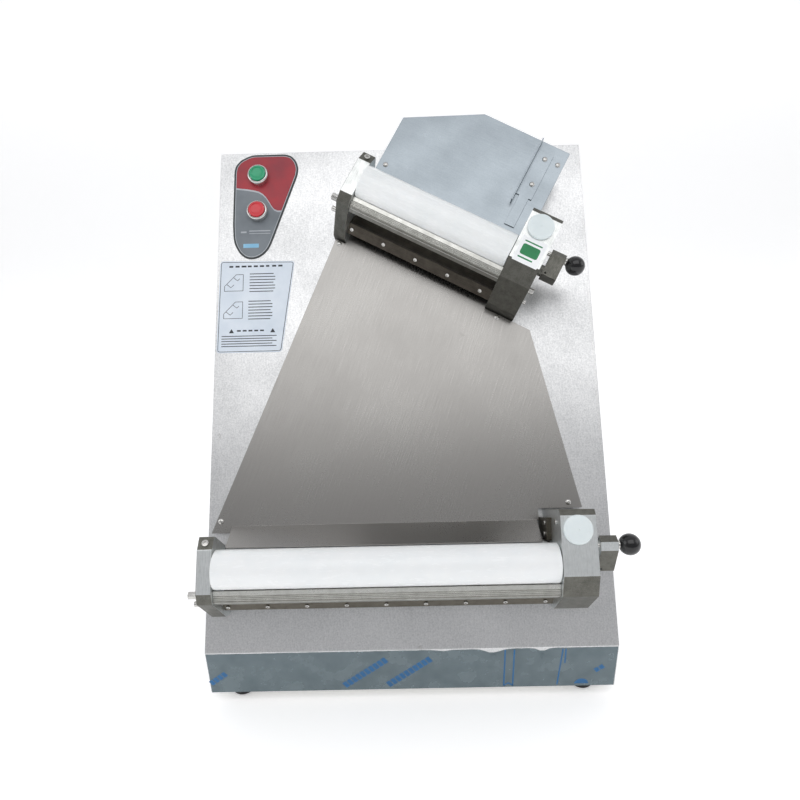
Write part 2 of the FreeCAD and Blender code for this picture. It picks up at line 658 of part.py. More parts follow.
    def make_guard_and_scraper(self):
        """The finger guard in front of the rollers, and the scraper bar with its blade."""
        self.profile_pad("finger_guard", [
            ("-21.8", "76"), ("-26.3", "75.2"), ("-34.8", "73.3"), ("-38.5", "64"), ("-35.5", "63"),
            ("-32.6", "70.3"), ("-25.5", "72.2"), ("-21.8", "72.8")], f"-{self.length}", self.length)
        self.profile_pad("scraper", [
            ("-41", "38"), ("-51", "25"), ("-47.8", "22.6"), ("-40.8", "31.6"), ("-21.4", "28.6"),
            ("-21.2", "29.8"), ("-38.6", "34.6"), ("-37.8", "35.6")], f"-{self.length}", self.length)

    def make_face_plug(self):
        body = self.b.body(self.label("face_plug"), self.frame)
        for radius, start, finish in (("plug_radius", "91.6", "91.6 + plug_proud"),
                                      ("14", "86", "91.6")):
            disc = self.b.sketch(body, "XY", start=start)
            self.b.circle(disc, "19.25", "39.75", radius)
            self.b.grow(body, disc, f"{finish} - ({start})")

    def make_lever(self):
        """The thickness lever, its index pin and its ball knob, in the lever's own frame."""
        b = self.b
        lever = b.body(self.label("thickness_lever"), self.lever_frame)
        arm = b.sketch(lever, "YZ", start="lever_inner")
        b.outline(arm, [("-lever_half", "-lever_half"), ("lever_reach", "-lever_half"),
                        ("lever_reach", "lever_half - 5.5"), ("lever_reach - 8.5", "lever_half"),
                        ("-lever_half", "lever_half")])
        b.grow(lever, arm, "lever_outer - lever_inner")
        self.add_disc(lever, "lever_hub - 1.5", "housing_width + 0.3", "lever_inner - housing_width - 0.2")
        self.add_disc(lever, "lever_shaft", "belt_plane + 1", "lever_inner - belt_plane")
        self.bore(lever, "pin_reach", "0", "pin_radius + running_fit", "lever_inner - 1", "22")
        set_screw = b.sketch(lever, "XY", start="lever_half - 4")
        b.circle(set_screw, "lever_inner + 4", "-lever_half + 3.5", "1.5")
        b.carve(lever, set_screw, "5", reverse=True)
        at = ("pin_reach", "0")
        b.join(self.label("index_pin"), [
            b.cylinder(self.label("pin"), "pin_radius", "28.5", ("housing_width - 1.6", *at)),
            b.cylinder(self.label("collar"), "knob_neck", "2.2", ("lever_outer + 0.4", *at))],
            self.lever_frame)
        ball = b.sphere(self.label("ball"), "knob_radius", ("knob_centre", *at))
        neck = b.block(self.label("ball_trim"), ("20", "40", "40"),
                       ("lever_outer + 2.6 - 20", "pin_reach - 20", "-20"))
        trimmed = b.cut(self.label("ball_flat"), ball, neck)
        bore = b.cylinder(self.label("ball_bore"), "pin_radius", "28.5", ("housing_width - 1.6", *at))
        b.cut(self.label("lever_knob"), trimmed, bore, self.lever_frame)

    def make_drive(self):
        """Gearmotor behind the panel, its pulley and the flat belt to the rear shaft."""
        b = self.b
        depth = "-motor_depth"
        loops = []
        for kind, grow in (("outer", "+ belt_clearance + belt_thickness"), ("inner", "+ belt_clearance")):
            radius = f"(pulley_radius {grow})"
            ends = [b.cylinder(self.label(f"belt_{kind}_end"), radius, "belt_width",
                               ("belt_plane", "axis_offset", height))
                    for height in ("rear_axis_height", depth)]
            middle = b.block(self.label(f"belt_{kind}_run"),
                             ("belt_width", f"2 * {radius}", "rear_axis_height + motor_depth"),
                             ("belt_plane", f"axis_offset - {radius}", depth))
            loops.append(b.join(self.label(f"belt_{kind}"), ends + [middle]))
        b.cut(self.label("drive_belt"), loops[0], loops[1], self.frame)
        pulley = b.body(self.label("motor_pulley"),
                        self.frame * placement(0, b.size("axis_offset"), -b.size("motor_depth")))
        self.add_disc(pulley, "pulley_radius", "belt_plane", "belt_width")
        self.add_disc(pulley, "5", "belt_plane - 8", "8.5")
        box = ("44", "2 * motor_radius", "2 * motor_radius")
        case = b.block(self.label("gearbox"), box,
                       ("belt_plane - 46", "axis_offset - motor_radius", f"{depth} - motor_radius"))
        shaft_hole = b.cylinder(self.label("gearbox_bore"), "5.05", "20",
                                ("belt_plane - 8.5", "axis_offset", depth))
        bored = b.cut(self.label("gearbox_case"), case, shaft_hole)
        motor = b.cylinder(self.label("motor_can"), "motor_radius - 2", "motor_length",
                           ("belt_plane - 46 - motor_length", "axis_offset", depth))
        foot = b.block(self.label("motor_foot"), ("40", "12", "motor_depth - motor_radius - sheet + 1"),
                       ("belt_plane - 44", "axis_offset + motor_radius - 14", f"{depth} + motor_radius - 1"))
        twin = b.block(self.label("motor_foot_left"),
                       ("40", "12", "motor_depth - motor_radius - sheet + 1"),
                       ("belt_plane - 44", "axis_offset - motor_radius + 2",
                        f"{depth} + motor_radius - 1"))
        b.join(self.label("gearmotor"), [bored, motor, foot, twin], self.frame)

    def screws(self):
        """The unit's socket screws, as pieces placed in the panel's frame by the caller."""
        b = self.b
        count = int((b.size(self.length) - b.size("screw_first")) // b.size("screw_pitch")) + 1
        outward = (0, -0.793, 0.61)
        pieces = []
        for i in range(count):
            along = f"-{self.length} + screw_first + {i} * screw_pitch"
            pieces.append(b.cylinder(self.label("scraper_screw"), "2.6", "1.6",
                                     (along, "-46", "31.5"), outward))
        left = f"-{self.length} - left_width"
        for radius, length, start, across, up in (
                ("5", "8", f"{left} - 8", "-27", "60"), ("3.5", "5", f"{left} - 5", "-40", "50"),
                ("4.6", "7", "housing_width", "-25", "52"), ("3", "4", "housing_width", "-38", "41"),
                ("2.6", "1.6", "-7.6", "34", "36"), ("2.6", "1.6", "-7.6", "47", "40"),
                ("3", "1.4", "-1.4", "48", "70"), ("3", "1.4", "-1.4", "-28", "54")):
            pieces.append(b.cylinder(self.label("side_screw"), radius, length, (start, across, up)))
        pieces.append(b.cylinder(self.label("chamfer_screw"), "4", "2",
                                 (f"{left} + left_width / 2", "32.6", "79.6"), (0, 0.407, 0.913)))
        group = b.doc.addObject("Part::Compound", self.label("screws"))
        group.Links = pieces
        return group

    def make(self):
        self.make_left_block()
        self.make_gear_housing()
        self.make_cheek_plate()
        self.make_roller("front", self.front_height, "front_journal", "second_plane + gear_face + 1")
        self.make_roller("rear", self.b.size("rear_axis_height"), "rear_journal",
                         "housing_width - housing_outer_wall - 0.6")
        self.make_gear_train()
        self.make_bearing_slides()
        self.make_guard_and_scraper()
        self.make_face_plug()
        self.make_lever()
        self.make_drive()


def make_cover_screws(b):
    """The rear cover's screws, standing on its outer face in the base frame."""
    screws = []
    for x in ("-casing_width / 2 + 9", "0", "casing_width / 2 - 9"):
        for z in ("foot_height + 12", f"{TOP} - 12"):
            screws.append(b.cylinder("cover_screw", "3.2", "2", (x, f"{DEPTH} + sheet", z), (0, 1, 0)))
    group = b.doc.addObject("Part::Compound", "cover_screws")
    group.Links = screws
    return group


def check_shapes(b):
    for item in b.doc.Objects:
        if "Invalid" in item.State or "Error" in item.State:
            raise RuntimeError(f"{item.Label}: {item.State}")
    for label, item in b.parts.items():
        if item.Shape.isNull() or not item.Shape.isValid():
            raise RuntimeError(f"{label} has no valid shape")


def main():
    b = Builder()
    frames = Frames(b)
    for make in (make_casing, make_base_plate, make_back_cover, make_feet, make_cable_gland,
                 make_terminal_box, make_controls, make_chute, make_infeed, make_dome_screws):
        make(b, frames)
    screw_groups = [make_cover_screws(b)]
    screw_groups[0].Placement = frames.base
    for name in ("lower", "upper"):
        unit = Unit(b, frames, name)
        unit.make()
        screws = unit.screws()
        screws.Placement = unit.frame
        screw_groups.append(screws)
    b.group("socket_screws", screw_groups, FreeCAD.Placement())
    b.doc.recompute()
    check_shapes(b)
    os.makedirs("parts", exist_ok=True)
    for label, item in b.parts.items():
        item.Shape.exportStep(f"parts/{label}.step")


main()
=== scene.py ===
"""The looks of a two-pass dough sheeter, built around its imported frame.

Every piece is modelled in the frame of the sub-assembly it belongs to (panel or roller
unit, in millimetres), then seated in the machine's own frame in metres.
"""
import json
import logging
import math
import random
from collections.abc import Callable
from dataclasses import dataclass, field
from enum import Enum

import bpy
from mathutils import Euler, Matrix, Vector


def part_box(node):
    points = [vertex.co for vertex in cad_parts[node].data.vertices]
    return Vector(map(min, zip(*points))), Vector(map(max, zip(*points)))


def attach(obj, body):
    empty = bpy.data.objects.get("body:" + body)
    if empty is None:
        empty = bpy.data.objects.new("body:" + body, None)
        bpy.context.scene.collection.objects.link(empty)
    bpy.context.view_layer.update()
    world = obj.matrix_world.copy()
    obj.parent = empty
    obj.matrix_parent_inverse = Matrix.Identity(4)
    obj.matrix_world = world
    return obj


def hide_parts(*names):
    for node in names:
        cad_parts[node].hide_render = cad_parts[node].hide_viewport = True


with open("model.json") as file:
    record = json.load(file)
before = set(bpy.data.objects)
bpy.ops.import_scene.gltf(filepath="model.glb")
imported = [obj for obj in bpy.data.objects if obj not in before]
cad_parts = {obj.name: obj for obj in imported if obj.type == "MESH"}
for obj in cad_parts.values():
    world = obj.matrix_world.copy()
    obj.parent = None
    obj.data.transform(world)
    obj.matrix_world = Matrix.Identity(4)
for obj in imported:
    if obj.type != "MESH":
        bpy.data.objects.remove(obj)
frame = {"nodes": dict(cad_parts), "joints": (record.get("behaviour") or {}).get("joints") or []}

LOG = logging.getLogger("dough_sheeter")
MM = 0.001
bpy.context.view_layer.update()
Socket = bpy.types.NodeSocket
Piece = bpy.types.Object


# ---- frames -------------------------------------------------------------------------

@dataclass(frozen=True)
class Bench:
    """A right-handed working frame: an origin in metres and three unit axes."""

    origin: Vector
    across: Vector
    up: Vector
    out: Vector

    def matrix(self) -> Matrix:
        """The matrix that carries this frame's metres into the machine's."""
        turn = Matrix((self.across, self.up, self.out)).transposed().to_4x4()
        return Matrix.Translation(self.origin) @ turn

    def point(self, across: float, up: float, out: float) -> Vector:
        """A place given in this frame's millimetres, in the machine's metres."""
        return self.matrix() @ (Vector((across, up, out)) * MM)

    def moved(self, across: float, up: float, out: float) -> "Bench":
        """The same frame with its origin moved by millimetres."""
        return Bench(self.point(across, up, out), self.across, self.up, self.out)


def joint(name: str) -> dict:
    """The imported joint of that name."""
    return next(entry for entry in frame["joints"] if entry["name"] == name)


SKIRT_TOP = 79.0
AXIS_OFFSET = 1.8
REAR_HEIGHT = 23.3
ROLLER_RADIUS = 23.0
CHAMFER_ANGLE = 20.0
# How nearly a guard face must look straight out to escape the painted shade.
GUARD_PAINTED_SHADE_LIMIT = 0.975


def machine_bench() -> Bench:
    """The machine's own frame, in which +Z is up."""
    return Bench(Vector((0, 0, 0)), Vector((1, 0, 0)), Vector((0, 1, 0)), Vector((0, 0, 1)))


def panel_bench() -> Bench:
    """The sloping panel's frame, from its lower left corner."""
    low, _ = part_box("casing")
    out = -Vector(joint("start_press")["axis"]).normalized()
    across = Vector((1, 0, 0))
    return Bench(Vector((low[0], low[1], SKIRT_TOP * MM)), across, out.cross(across), out)


def unit_bench(unit: str) -> Bench:
    """A roller unit's frame, from the foot of its gear housing's inner face."""
    spin = joint(f"{unit}_rear_roller_spin")
    across = Vector(spin["axis"]).normalized()
    out = Vector(joint(f"{unit}_gap_slide")["axis"]).normalized()
    bench = Bench(Vector(spin["pos_m"]), across, out.cross(across), out)
    return bench.moved(0, -AXIS_OFFSET, -REAR_HEIGHT)


# ---- modelling ------------------------------------------------------------------------

class Plane(Enum):
    """The pair of a bench's axes that an outline is drawn on, and the way it is extruded."""

    FACE = ((1, 0, 0), (0, 1, 0), (0, 0, 1))
    SECTION = ((0, 1, 0), (0, 0, 1), (1, 0, 0))


def clear_selection() -> None:
    """Deselects every object and makes none active."""
    if bpy.context.object and bpy.context.object.mode != "OBJECT":
        bpy.ops.object.mode_set(mode="OBJECT")
    bpy.ops.object.select_all(action="DESELECT")


def take(piece: Piece) -> None:
    """Makes a piece the only selected one, and the active one."""
    clear_selection()
    piece.select_set(True)
    bpy.context.view_layer.objects.active = piece


def edit_all(piece: Piece) -> None:
    """Opens a piece in edit mode with its whole mesh selected."""
    take(piece)
    bpy.ops.object.mode_set(mode="EDIT")
    bpy.ops.mesh.select_all(action="SELECT")


def close_edit() -> None:
    """Leaves edit mode."""
    bpy.ops.object.mode_set(mode="OBJECT")


def name_piece(name: str) -> Piece:
    """Names the primitive that was just added and its mesh."""
    piece = bpy.context.object
    piece.name = name
    piece.data.name = name
    return piece


def ring_of_points(name: str, points: list[Vector], closed: bool) -> Piece:
    """A circle primitive whose corners are moved to the given places.

    Args:
        name: The piece's name.
        points: The places, in metres, in order.
        closed: Whether it is a filled face; an open one loses its closing edge.

    Returns:
        The piece, a single face or an open line.
    """
    clear_selection()
    fill = "NGON" if closed else "NOTHING"
    bpy.ops.mesh.primitive_circle_add(vertices=len(points), radius=1, fill_type=fill)
    piece = name_piece(name)
    for corner, place in zip(piece.data.vertices, points):
        corner.co = place
    if not closed:
        last = len(points) - 1
        edit_all(piece)
        bpy.ops.mesh.select_mode(type="EDGE")
        bpy.ops.mesh.select_all(action="DESELECT")
        close_edit()
        for edge in piece.data.edges:
            edge.select = set(edge.vertices) == {0, last}
        bpy.ops.object.mode_set(mode="EDIT")
        bpy.ops.mesh.delete(type="EDGE_FACE")
        bpy.ops.mesh.select_mode(type="VERT")
        close_edit()
    return piece


def outline_solid(name: str, outline: list[tuple[float, float]], depth: float,
                  start: float = 0.0, plane: Plane = Plane.FACE) -> Piece:
    """A straight extrusion of an outline.

    Args:
        name: The piece's name.
        outline: The corners in millimetres, on the plane's two axes.
        depth: How far it is extruded, in millimetres.
        start: Where along the extrusion it starts, in millimetres.
        plane: The plane the outline is drawn on.

    Returns:
        A closed solid with its normals outwards.
    """
    first, second, normal = (Vector(axis) for axis in plane.value)
    points = [(first * x + second * y + normal * start) * MM for x, y in outline]
    piece = ring_of_points(name, points, closed=True)
    edit_all(piece)
    bpy.ops.mesh.extrude_region_move(
        TRANSFORM_OT_translate={"value": tuple(normal * depth * MM)})
    bpy.ops.mesh.select_all(action="SELECT")
    bpy.ops.mesh.normals_make_consistent(inside=False)
    close_edit()
    return piece


def lathe(name: str, profile: list[tuple[float, float]], steps: int = 64) -> Piece:
    """A solid turned about its bench's third axis.

    Args:
        name: The piece's name.
        profile: Pairs of radius and height in millimetres, from one end to the other.
        steps: The number of facets around it.

    Returns:
        A closed solid with its normals outwards.
    """
    points = [Vector((radius, 0, height)) * MM for radius, height in profile]
    piece = ring_of_points(name, points, closed=False)
    edit_all(piece)
    bpy.ops.mesh.spin(steps=steps, angle=2 * math.pi, center=(0, 0, 0), axis=(0, 0, 1))
    bpy.ops.mesh.select_all(action="SELECT")
    bpy.ops.mesh.remove_doubles(threshold=1e-6)
    bpy.ops.mesh.select_all(action="SELECT")
    bpy.ops.mesh.fill_holes(sides=0)
    bpy.ops.mesh.normals_make_consistent(inside=False)
    close_edit()
    smooth(piece)
    return piece


def settle(piece: Piece) -> None:
    """Puts a piece's place and turn into its mesh."""
    take(piece)
    bpy.ops.object.transform_apply(location=True, rotation=True, scale=True)


def seat(piece: Piece, bench: Bench, at: tuple[float, float, float] = (0, 0, 0)) -> Piece:
    """Carries a piece from its bench to its place in the machine.

    Args:
        piece: The piece, modelled round its bench's origin.
        bench: The frame it was modelled in.
        at: Where in that frame it goes, in millimetres.

    Returns:
        The same piece.
    """
    piece.matrix_world = bench.matrix() @ Matrix.Translation(Vector(at) * MM)
    settle(piece)
    return piece


def smooth(piece: Piece, degrees: float = 32) -> None:
    """Shades a piece smooth across its soft edges only."""
    take(piece)
    bpy.ops.object.shade_smooth_by_angle(angle=math.radians(degrees))


def soften(piece: Piece, width: float, segments: int = 2, degrees: float = 30) -> Piece:
    """Rounds a piece's edges with a bevel that is applied.

    Args:
        piece: The piece.
        width: The bevel's width in millimetres.
        segments: The steps across it.
        degrees: The least angle of an edge that is rounded.

    Returns:
        The same piece.
    """
    take(piece)
    bevel = piece.modifiers.new("edge", "BEVEL")
    bevel.width = width * MM
    bevel.segments = segments
    bevel.limit_method = "ANGLE"
    bevel.angle_limit = math.radians(degrees)
    bevel.use_clamp_overlap = True
    bpy.ops.object.modifier_apply(modifier=bevel.name)
    smooth(piece)
    flat = piece.modifiers.new("flat_faces", "WEIGHTED_NORMAL")
    flat.keep_sharp = True
    flat.weight = 100
    bpy.ops.object.modifier_apply(modifier=flat.name)
    return piece


def cut_away(piece: Piece, tool: Piece) -> None:
    """Cuts one solid out of another; the tool is used up."""
    take(piece)
    cut = piece.modifiers.new("cut", "BOOLEAN")
    cut.operation = "DIFFERENCE"
    cut.solver = "EXACT"
    cut.object = tool
    bpy.ops.object.modifier_apply(modifier=cut.name)
    bpy.data.objects.remove(tool)


def softened_copy(node: str, name: str, width: float, segments: int = 2,
                  degrees: float = 30) -> Piece:
    """A finished copy of a designed part: merged, its facets cleaned and its edges rounded.

    Args:
        node: The part in the frame.
        name: The new piece's name.
        width: The rounding in millimetres.
        segments: The steps across it.
        degrees: The least angle of an edge that is rounded.

    Returns:
        The new piece, which stands for the part.
    """
    source = frame["nodes"][node]
    mesh = source.data.copy()
    piece = bpy.data.objects.new(name, mesh)
    mesh.name = name
    bpy.context.scene.collection.objects.link(piece)
    mesh.materials.clear()
    edit_all(piece)
    bpy.ops.mesh.customdata_custom_splitnormals_clear()
    bpy.ops.mesh.remove_doubles(threshold=2e-6)
    bpy.ops.mesh.select_all(action="SELECT")
    bpy.ops.mesh.dissolve_limited(angle_limit=math.radians(0.5))
    close_edit()
    soften(piece, width, segments, degrees)
    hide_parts(node)
    return piece


def duplicate(piece: Piece, name: str) -> Piece:
    """A copy of a piece with a mesh of its own."""
    twin = bpy.data.objects.new(name, piece.data.copy())
    twin.data.name = name
    bpy.context.scene.collection.objects.link(twin)
    return twin


def weld(name: str, items: list[Piece]) -> Piece:
    """Joins several meshes into one piece without merging them."""
    clear_selection()
    for item in items:
        item.select_set(True)
    bpy.context.view_layer.objects.active = items[0]
    bpy.ops.object.join()
    return name_piece(name)


def rounded(corners: list[tuple[float, float]], radius: float,
            steps: int = 5) -> list[tuple[float, float]]:
    """An outline with each corner turned into an arc.

    Args:
        corners: The outline's corners in millimetres.
        radius: The arcs' reach along each side, in millimetres.
        steps: The points on each arc.

    Returns:
        The rounded outline.
    """
    result = []
    count = len(corners)
    for i, corner in enumerate(corners):
        here = Vector(corner)
        back = Vector(corners[i - 1]) - here
        ahead = Vector(corners[(i + 1) % count]) - here
        reach = min(radius, back.length * 0.48, ahead.length * 0.48)
        first = here + back.normalized() * reach
        last = here + ahead.normalized() * reach
        for step in range(steps + 1):
            t = step / steps
            spot = first * (1 - t) ** 2 + here * 2 * t * (1 - t) + last * t ** 2
            result.append((spot.x, spot.y))
    return result


# ---- shader nodes ---------------------------------------------------------------------

def srgb(code: str) -> tuple[float, float, float, float]:
    """Turns an sRGB hex colour into the linear one that a shader takes."""
    parts = [int(code[i:i + 2], 16) / 255 for i in (0, 2, 4)]
    linear = [c / 12.92 if c <= 0.04045 else ((c + 0.055) / 1.055) ** 2.4 for c in parts]
    return (linear[0], linear[1], linear[2], 1.0)


class Weave:
    """A material's node tree while it is being made."""

    def __init__(self, name: str) -> None:
        """Starts a material with one shader.

        Args:
            name: The material's name.
        """
        self.material = bpy.data.materials.new(name)
        self.material.use_nodes = True
        self.tree = self.material.node_tree
        self.shader = self.tree.nodes["Principled BSDF"]
        self.place = self.add("ShaderNodeTexCoord").outputs["Object"]
        self.relief: Socket | None = None

    def add(self, kind: str, settings: dict | None = None,
            links: dict | None = None) -> bpy.types.Node:
        """Adds a node.

        Args:
            kind: Its type.
            settings: Properties by name, and socket values by the socket's name or number.
            links: Sockets that feed it, by the input's name or number.

        Returns:
            The node.
        """
        node = self.tree.nodes.new(kind)
        for key, value in (settings or {}).items():
            if isinstance(key, str) and hasattr(node, key):
                setattr(node, key, value)
            else:
                node.inputs[key].default_value = value
        for key, source in (links or {}).items():
            self.tree.links.new(source, node.inputs[key])
        return node

    def set(self, **values: float | tuple) -> None:
        """Sets constants on the shader's own sockets; underscores stand for spaces."""
        for key, value in values.items():
            self.shader.inputs[key.replace("_", " ")].default_value = value

    def stretched(self, stretch: tuple[float, float, float],
                  turn: tuple[float, float, float] = (0, 0, 0)) -> Socket:
        """Object coordinates turned by degrees and stretched.

        Args:
            stretch: The scale along each turned axis.
            turn: The turn about each axis in degrees.

        Returns:
            The coordinates.
        """
        spin = self.add("ShaderNodeMapping", {
            "vector_type": "TEXTURE",
            "Rotation": tuple(math.radians(a) for a in turn)}, {"Vector": self.place})
        return self.add("ShaderNodeMapping", {"Scale": stretch},
                        {"Vector": spin.outputs[0]}).outputs[0]

    def noise(self, size_mm: float, detail: float = 4, roughness: float = 0.55,
              where: Socket | None = None) -> Socket:
        """Noise whose features are about size_mm across.

        Args:
            size_mm: The features' size in millimetres.
            detail: The octaves.
            roughness: How strong the finer octaves are.
            where: The coordinates, the object's own if left out.

        Returns:
            The noise's factor.
        """
        node = self.add("ShaderNodeTexNoise", {
            "Scale": 1 / (size_mm * MM), "Detail": detail, "Roughness": roughness},
            {"Vector": where or self.place})
        return node.outputs["Fac"]

    def span(self, value: Socket, low: float, high: float, out_low: float = 0.0,
             out_high: float = 1.0) -> Socket:
        """Maps a value's range onto another, clamped."""
        return self.add("ShaderNodeMapRange", {
            "From Min": low, "From Max": high, "To Min": out_low, "To Max": out_high},
            {"Value": value}).outputs[0]

    def mix(self, share: Socket | float, first: Socket | str,
            second: Socket | str) -> Socket:
        """Mixes two colours, each a socket or a hex code.

        Args:
            share: The second colour's share.
            first: The first colour.
            second: The second colour.

        Returns:
            The mixed colour.
        """
        node = self.add("ShaderNodeMix", {"data_type": "RGBA"})
        for number, value in ((6, first), (7, second)):
            if isinstance(value, str):
                node.inputs[number].default_value = srgb(value)
            else:
                self.tree.links.new(value, node.inputs[number])
        if isinstance(share, (int, float)):
            node.inputs[0].default_value = share
        else:
            self.tree.links.new(share, node.inputs[0])
        return node.outputs[2]

    def maths(self, operation: str, first: Socket | float,
              second: Socket | float = 0.0) -> Socket:
        """One sum on two values, each a socket or a number."""
        node = self.add("ShaderNodeMath", {"operation": operation})
        for number, value in ((0, first), (1, second)):
            if isinstance(value, (int, float)):
                node.inputs[number].default_value = value
            else:
                self.tree.links.new(value, node.inputs[number])
        return node.outputs[0]

    def feed(self, **sockets: Socket) -> None:
        """Links sockets into the shader; underscores stand for spaces."""
        for key, source in sockets.items():
            self.tree.links.new(source, self.shader.inputs[key.replace("_", " ")])

    def raise_by(self, height: Socket, depth_mm: float, strength: float = 1.0) -> None:
        """Adds a layer of relief on the surface.

        Args:
            height: The height's factor.
            depth_mm: The relief's depth in millimetres.
            strength: How much of it is applied.
        """
        links = {"Height": height}
        if self.relief:
            links["Normal"] = self.relief
        bump = self.add("ShaderNodeBump", {"Strength": strength, "Distance": depth_mm * MM},
                        links)
        self.relief = bump.outputs[0]
        self.tree.links.new(self.relief, self.shader.inputs["Normal"])


# ---- finishes -------------------------------------------------------------------------

PANEL = panel_bench()
UNITS = {"lower": unit_bench("lower"), "upper": unit_bench("upper")}


def lay_of(bench: Bench, degrees: float) -> tuple[float, float, float]:
    """The turn, in degrees, that takes X to a direction lying in a bench's face.

    Args:
        bench: The frame whose first two axes span the face.
        degrees: The direction's angle from the bench's first axis.

    Returns:
        Euler angles about X, Y and Z.
    """
    angle = math.radians(degrees)
    grain = bench.across * math.cos(angle) + bench.up * math.sin(angle)
    turn = Matrix((grain, bench.out.cross(grain), bench.out)).transposed()
    return tuple(math.degrees(a) for a in turn.to_euler())


@dataclass(frozen=True)
class SheetSteel:
    """Stainless sheet, cold rolled or brushed: a soft mirror broken by fine grain."""

    name: str
    pale: str
    dark: str
    roughness: float
    lay: tuple[float, float, float]
    grain_mm: float = 0.9
    run_mm: float = 22.0
    grain_share: float = 0.5
    cloud_mm: float = 60.0
    cloud_share: float = 0.35
    speck_mm: float = 1.6
    speck_share: float = 0.5
    smudge: str = "8f8d88"

    def dress(self) -> bpy.types.Material:
        """Makes the material.

        Returns:
            The material.
        """
        w = Weave(self.name)
        unit = 1 / MM
        lines = w.stretched((unit / self.run_mm, unit / self.grain_mm, unit / self.grain_mm),
                            self.lay)
        grain = w.add("ShaderNodeTexNoise", {"Scale": 1.0, "Detail": 3.0, "Roughness": 0.6},
                      {"Vector": lines}).outputs["Fac"]
        cloud = w.noise(self.cloud_mm, 3, 0.5)
        speck = w.noise(self.speck_mm, 2, 0.6)
        streaks = w.span(grain, 0.3, 0.7, 0, self.grain_share)
        mottle = w.span(speck, 0.32, 0.68, 0, self.speck_share)
        drift = w.span(cloud, 0.35, 0.65, 0, self.cloud_share)
        total = w.maths("MULTIPLY", w.maths("ADD", w.maths("ADD", streaks, mottle), drift), 0.6)
        tone = w.mix(total, self.pale, self.dark)
        marks = w.span(w.noise(17, 6, 0.68), 0.66, 0.76, 0, 0.5)
        tone = w.mix(marks, tone, self.smudge)
        w.feed(Base_Color=tone,
               Roughness=w.span(w.maths("ADD", total, marks), 0, 1.1, self.roughness - 0.07,
                                self.roughness + 0.1))
        w.set(Metallic=1.0)
        w.raise_by(grain, 0.02, 0.35)
        w.raise_by(speck, 0.02, 0.3)
        return w.material


@dataclass(frozen=True)
class MilledMetal:
    """Machined aluminium or steel: close tool lines, small dings and greyer patches."""

    name: str
    pale: str
    dark: str
    roughness: float
    lay: tuple[float, float, float] = (0, 0, 0)
    line_mm: float = 0.55
    run_mm: float = 14.0
    line_share: float = 0.55
    patch_mm: float = 9.0
    depth_mm: float = 0.03

    def dress(self) -> bpy.types.Material:
        """Makes the material.

        Returns:
            The material.
        """
        w = Weave(self.name)
        unit = 1 / MM
        lines = w.stretched((unit / self.run_mm, unit / self.line_mm, unit / self.line_mm),
                            self.lay)
        tool = w.add("ShaderNodeTexNoise", {"Scale": 1.0, "Detail": 4.0, "Roughness": 0.62},
                     {"Vector": lines}).outputs["Fac"]
        patch = w.noise(self.patch_mm, 5, 0.6)
        ding = w.span(w.noise(2.4, 3, 0.5), 0.7, 0.78)
        share = w.maths("ADD", w.span(tool, 0.3, 0.72, 0, self.line_share),
                        w.span(patch, 0.35, 0.7, 0, 0.35))
        tone = w.mix(share, self.pale, self.dark)
        tone = w.mix(w.maths("MULTIPLY", ding, 0.6), tone, self.dark)
        w.feed(Base_Color=tone, Roughness=w.span(share, 0, 1, self.roughness - 0.06,
                                                 self.roughness + 0.12))
        w.set(Metallic=1.0)
        w.raise_by(tool, self.depth_mm, 0.5)
        w.raise_by(patch, self.depth_mm, 0.25)
        return w.material


@dataclass(frozen=True)
class TurnedPlastic:
    """Turned acetal: white, waxy, with the lathe's fine rings and a few grey scuffs."""

    name: str
    pale: str
    shade: str
    scuff: str
    roughness: float
    lay: tuple[float, float, float]
    scuff_share: float = 0.5

    def dress(self) -> bpy.types.Material:
        """Makes the material.

        Returns:
            The material.
        """
        w = Weave(self.name)
        unit = 1 / MM
        rings = w.add("ShaderNodeTexNoise", {"Scale": 1.0, "Detail": 2.0},
                      {"Vector": w.stretched((unit / 0.8, unit / 60, unit / 60), self.lay)}
                      ).outputs["Fac"]
        cloud = w.noise(34, 4, 0.5)
        rub = w.add("ShaderNodeTexNoise", {"Scale": 1.0, "Detail": 5.0, "Roughness": 0.7},
                    {"Vector": w.stretched((unit / 16, unit / 3.5, unit / 3.5), self.lay)}
                    ).outputs["Fac"]
        tone = w.mix(w.span(cloud, 0.35, 0.7, 0, 0.6), self.pale, self.shade)
        tone = w.mix(w.span(rub, 0.7, 0.78, 0, self.scuff_share), tone, self.scuff)
        w.feed(Base_Color=tone, Roughness=w.span(rub, 0.4, 0.75, self.roughness,
                                                 self.roughness + 0.14))
        w.set(IOR=1.48, Subsurface_Weight=0.25, Subsurface_Scale=0.003,
              Subsurface_Radius=(1.0, 0.95, 0.9))
        w.raise_by(rings, 0.015, 0.35)
        return w.material


@dataclass(frozen=True)
class MouldedPlastic:
    """Moulded plastic or rubber: a fine sparked grain and slight mottling."""

    name: str
    colour: str
    second: str
    roughness: float
    grain_mm: float = 0.5
    depth_mm: float = 0.02
    patch_mm: float = 11.0
    coat: float = 0.0
    dust: str = "8c8c88"
    dust_share: float = 0.12

    def dress(self) -> bpy.types.Material:
        """Makes the material.

        Returns:
            The material.
        """
        w = Weave(self.name)
        grain = w.noise(self.grain_mm, 3, 0.6)
        patch = w.noise(self.patch_mm, 4, 0.5)
        tone = w.mix(w.span(patch, 0.3, 0.7), self.colour, self.second)
        tone = w.mix(w.span(w.noise(3.2, 6, 0.7), 0.62, 0.8, 0, self.dust_share), tone, self.dust)
        w.feed(Base_Color=tone, Roughness=w.span(patch, 0.3, 0.7, self.roughness - 0.05,
                                                 self.roughness + 0.07))
        w.set(IOR=1.5, Coat_Weight=self.coat, Coat_Roughness=0.06)
        w.raise_by(grain, self.depth_mm, 0.4)
        return w.material


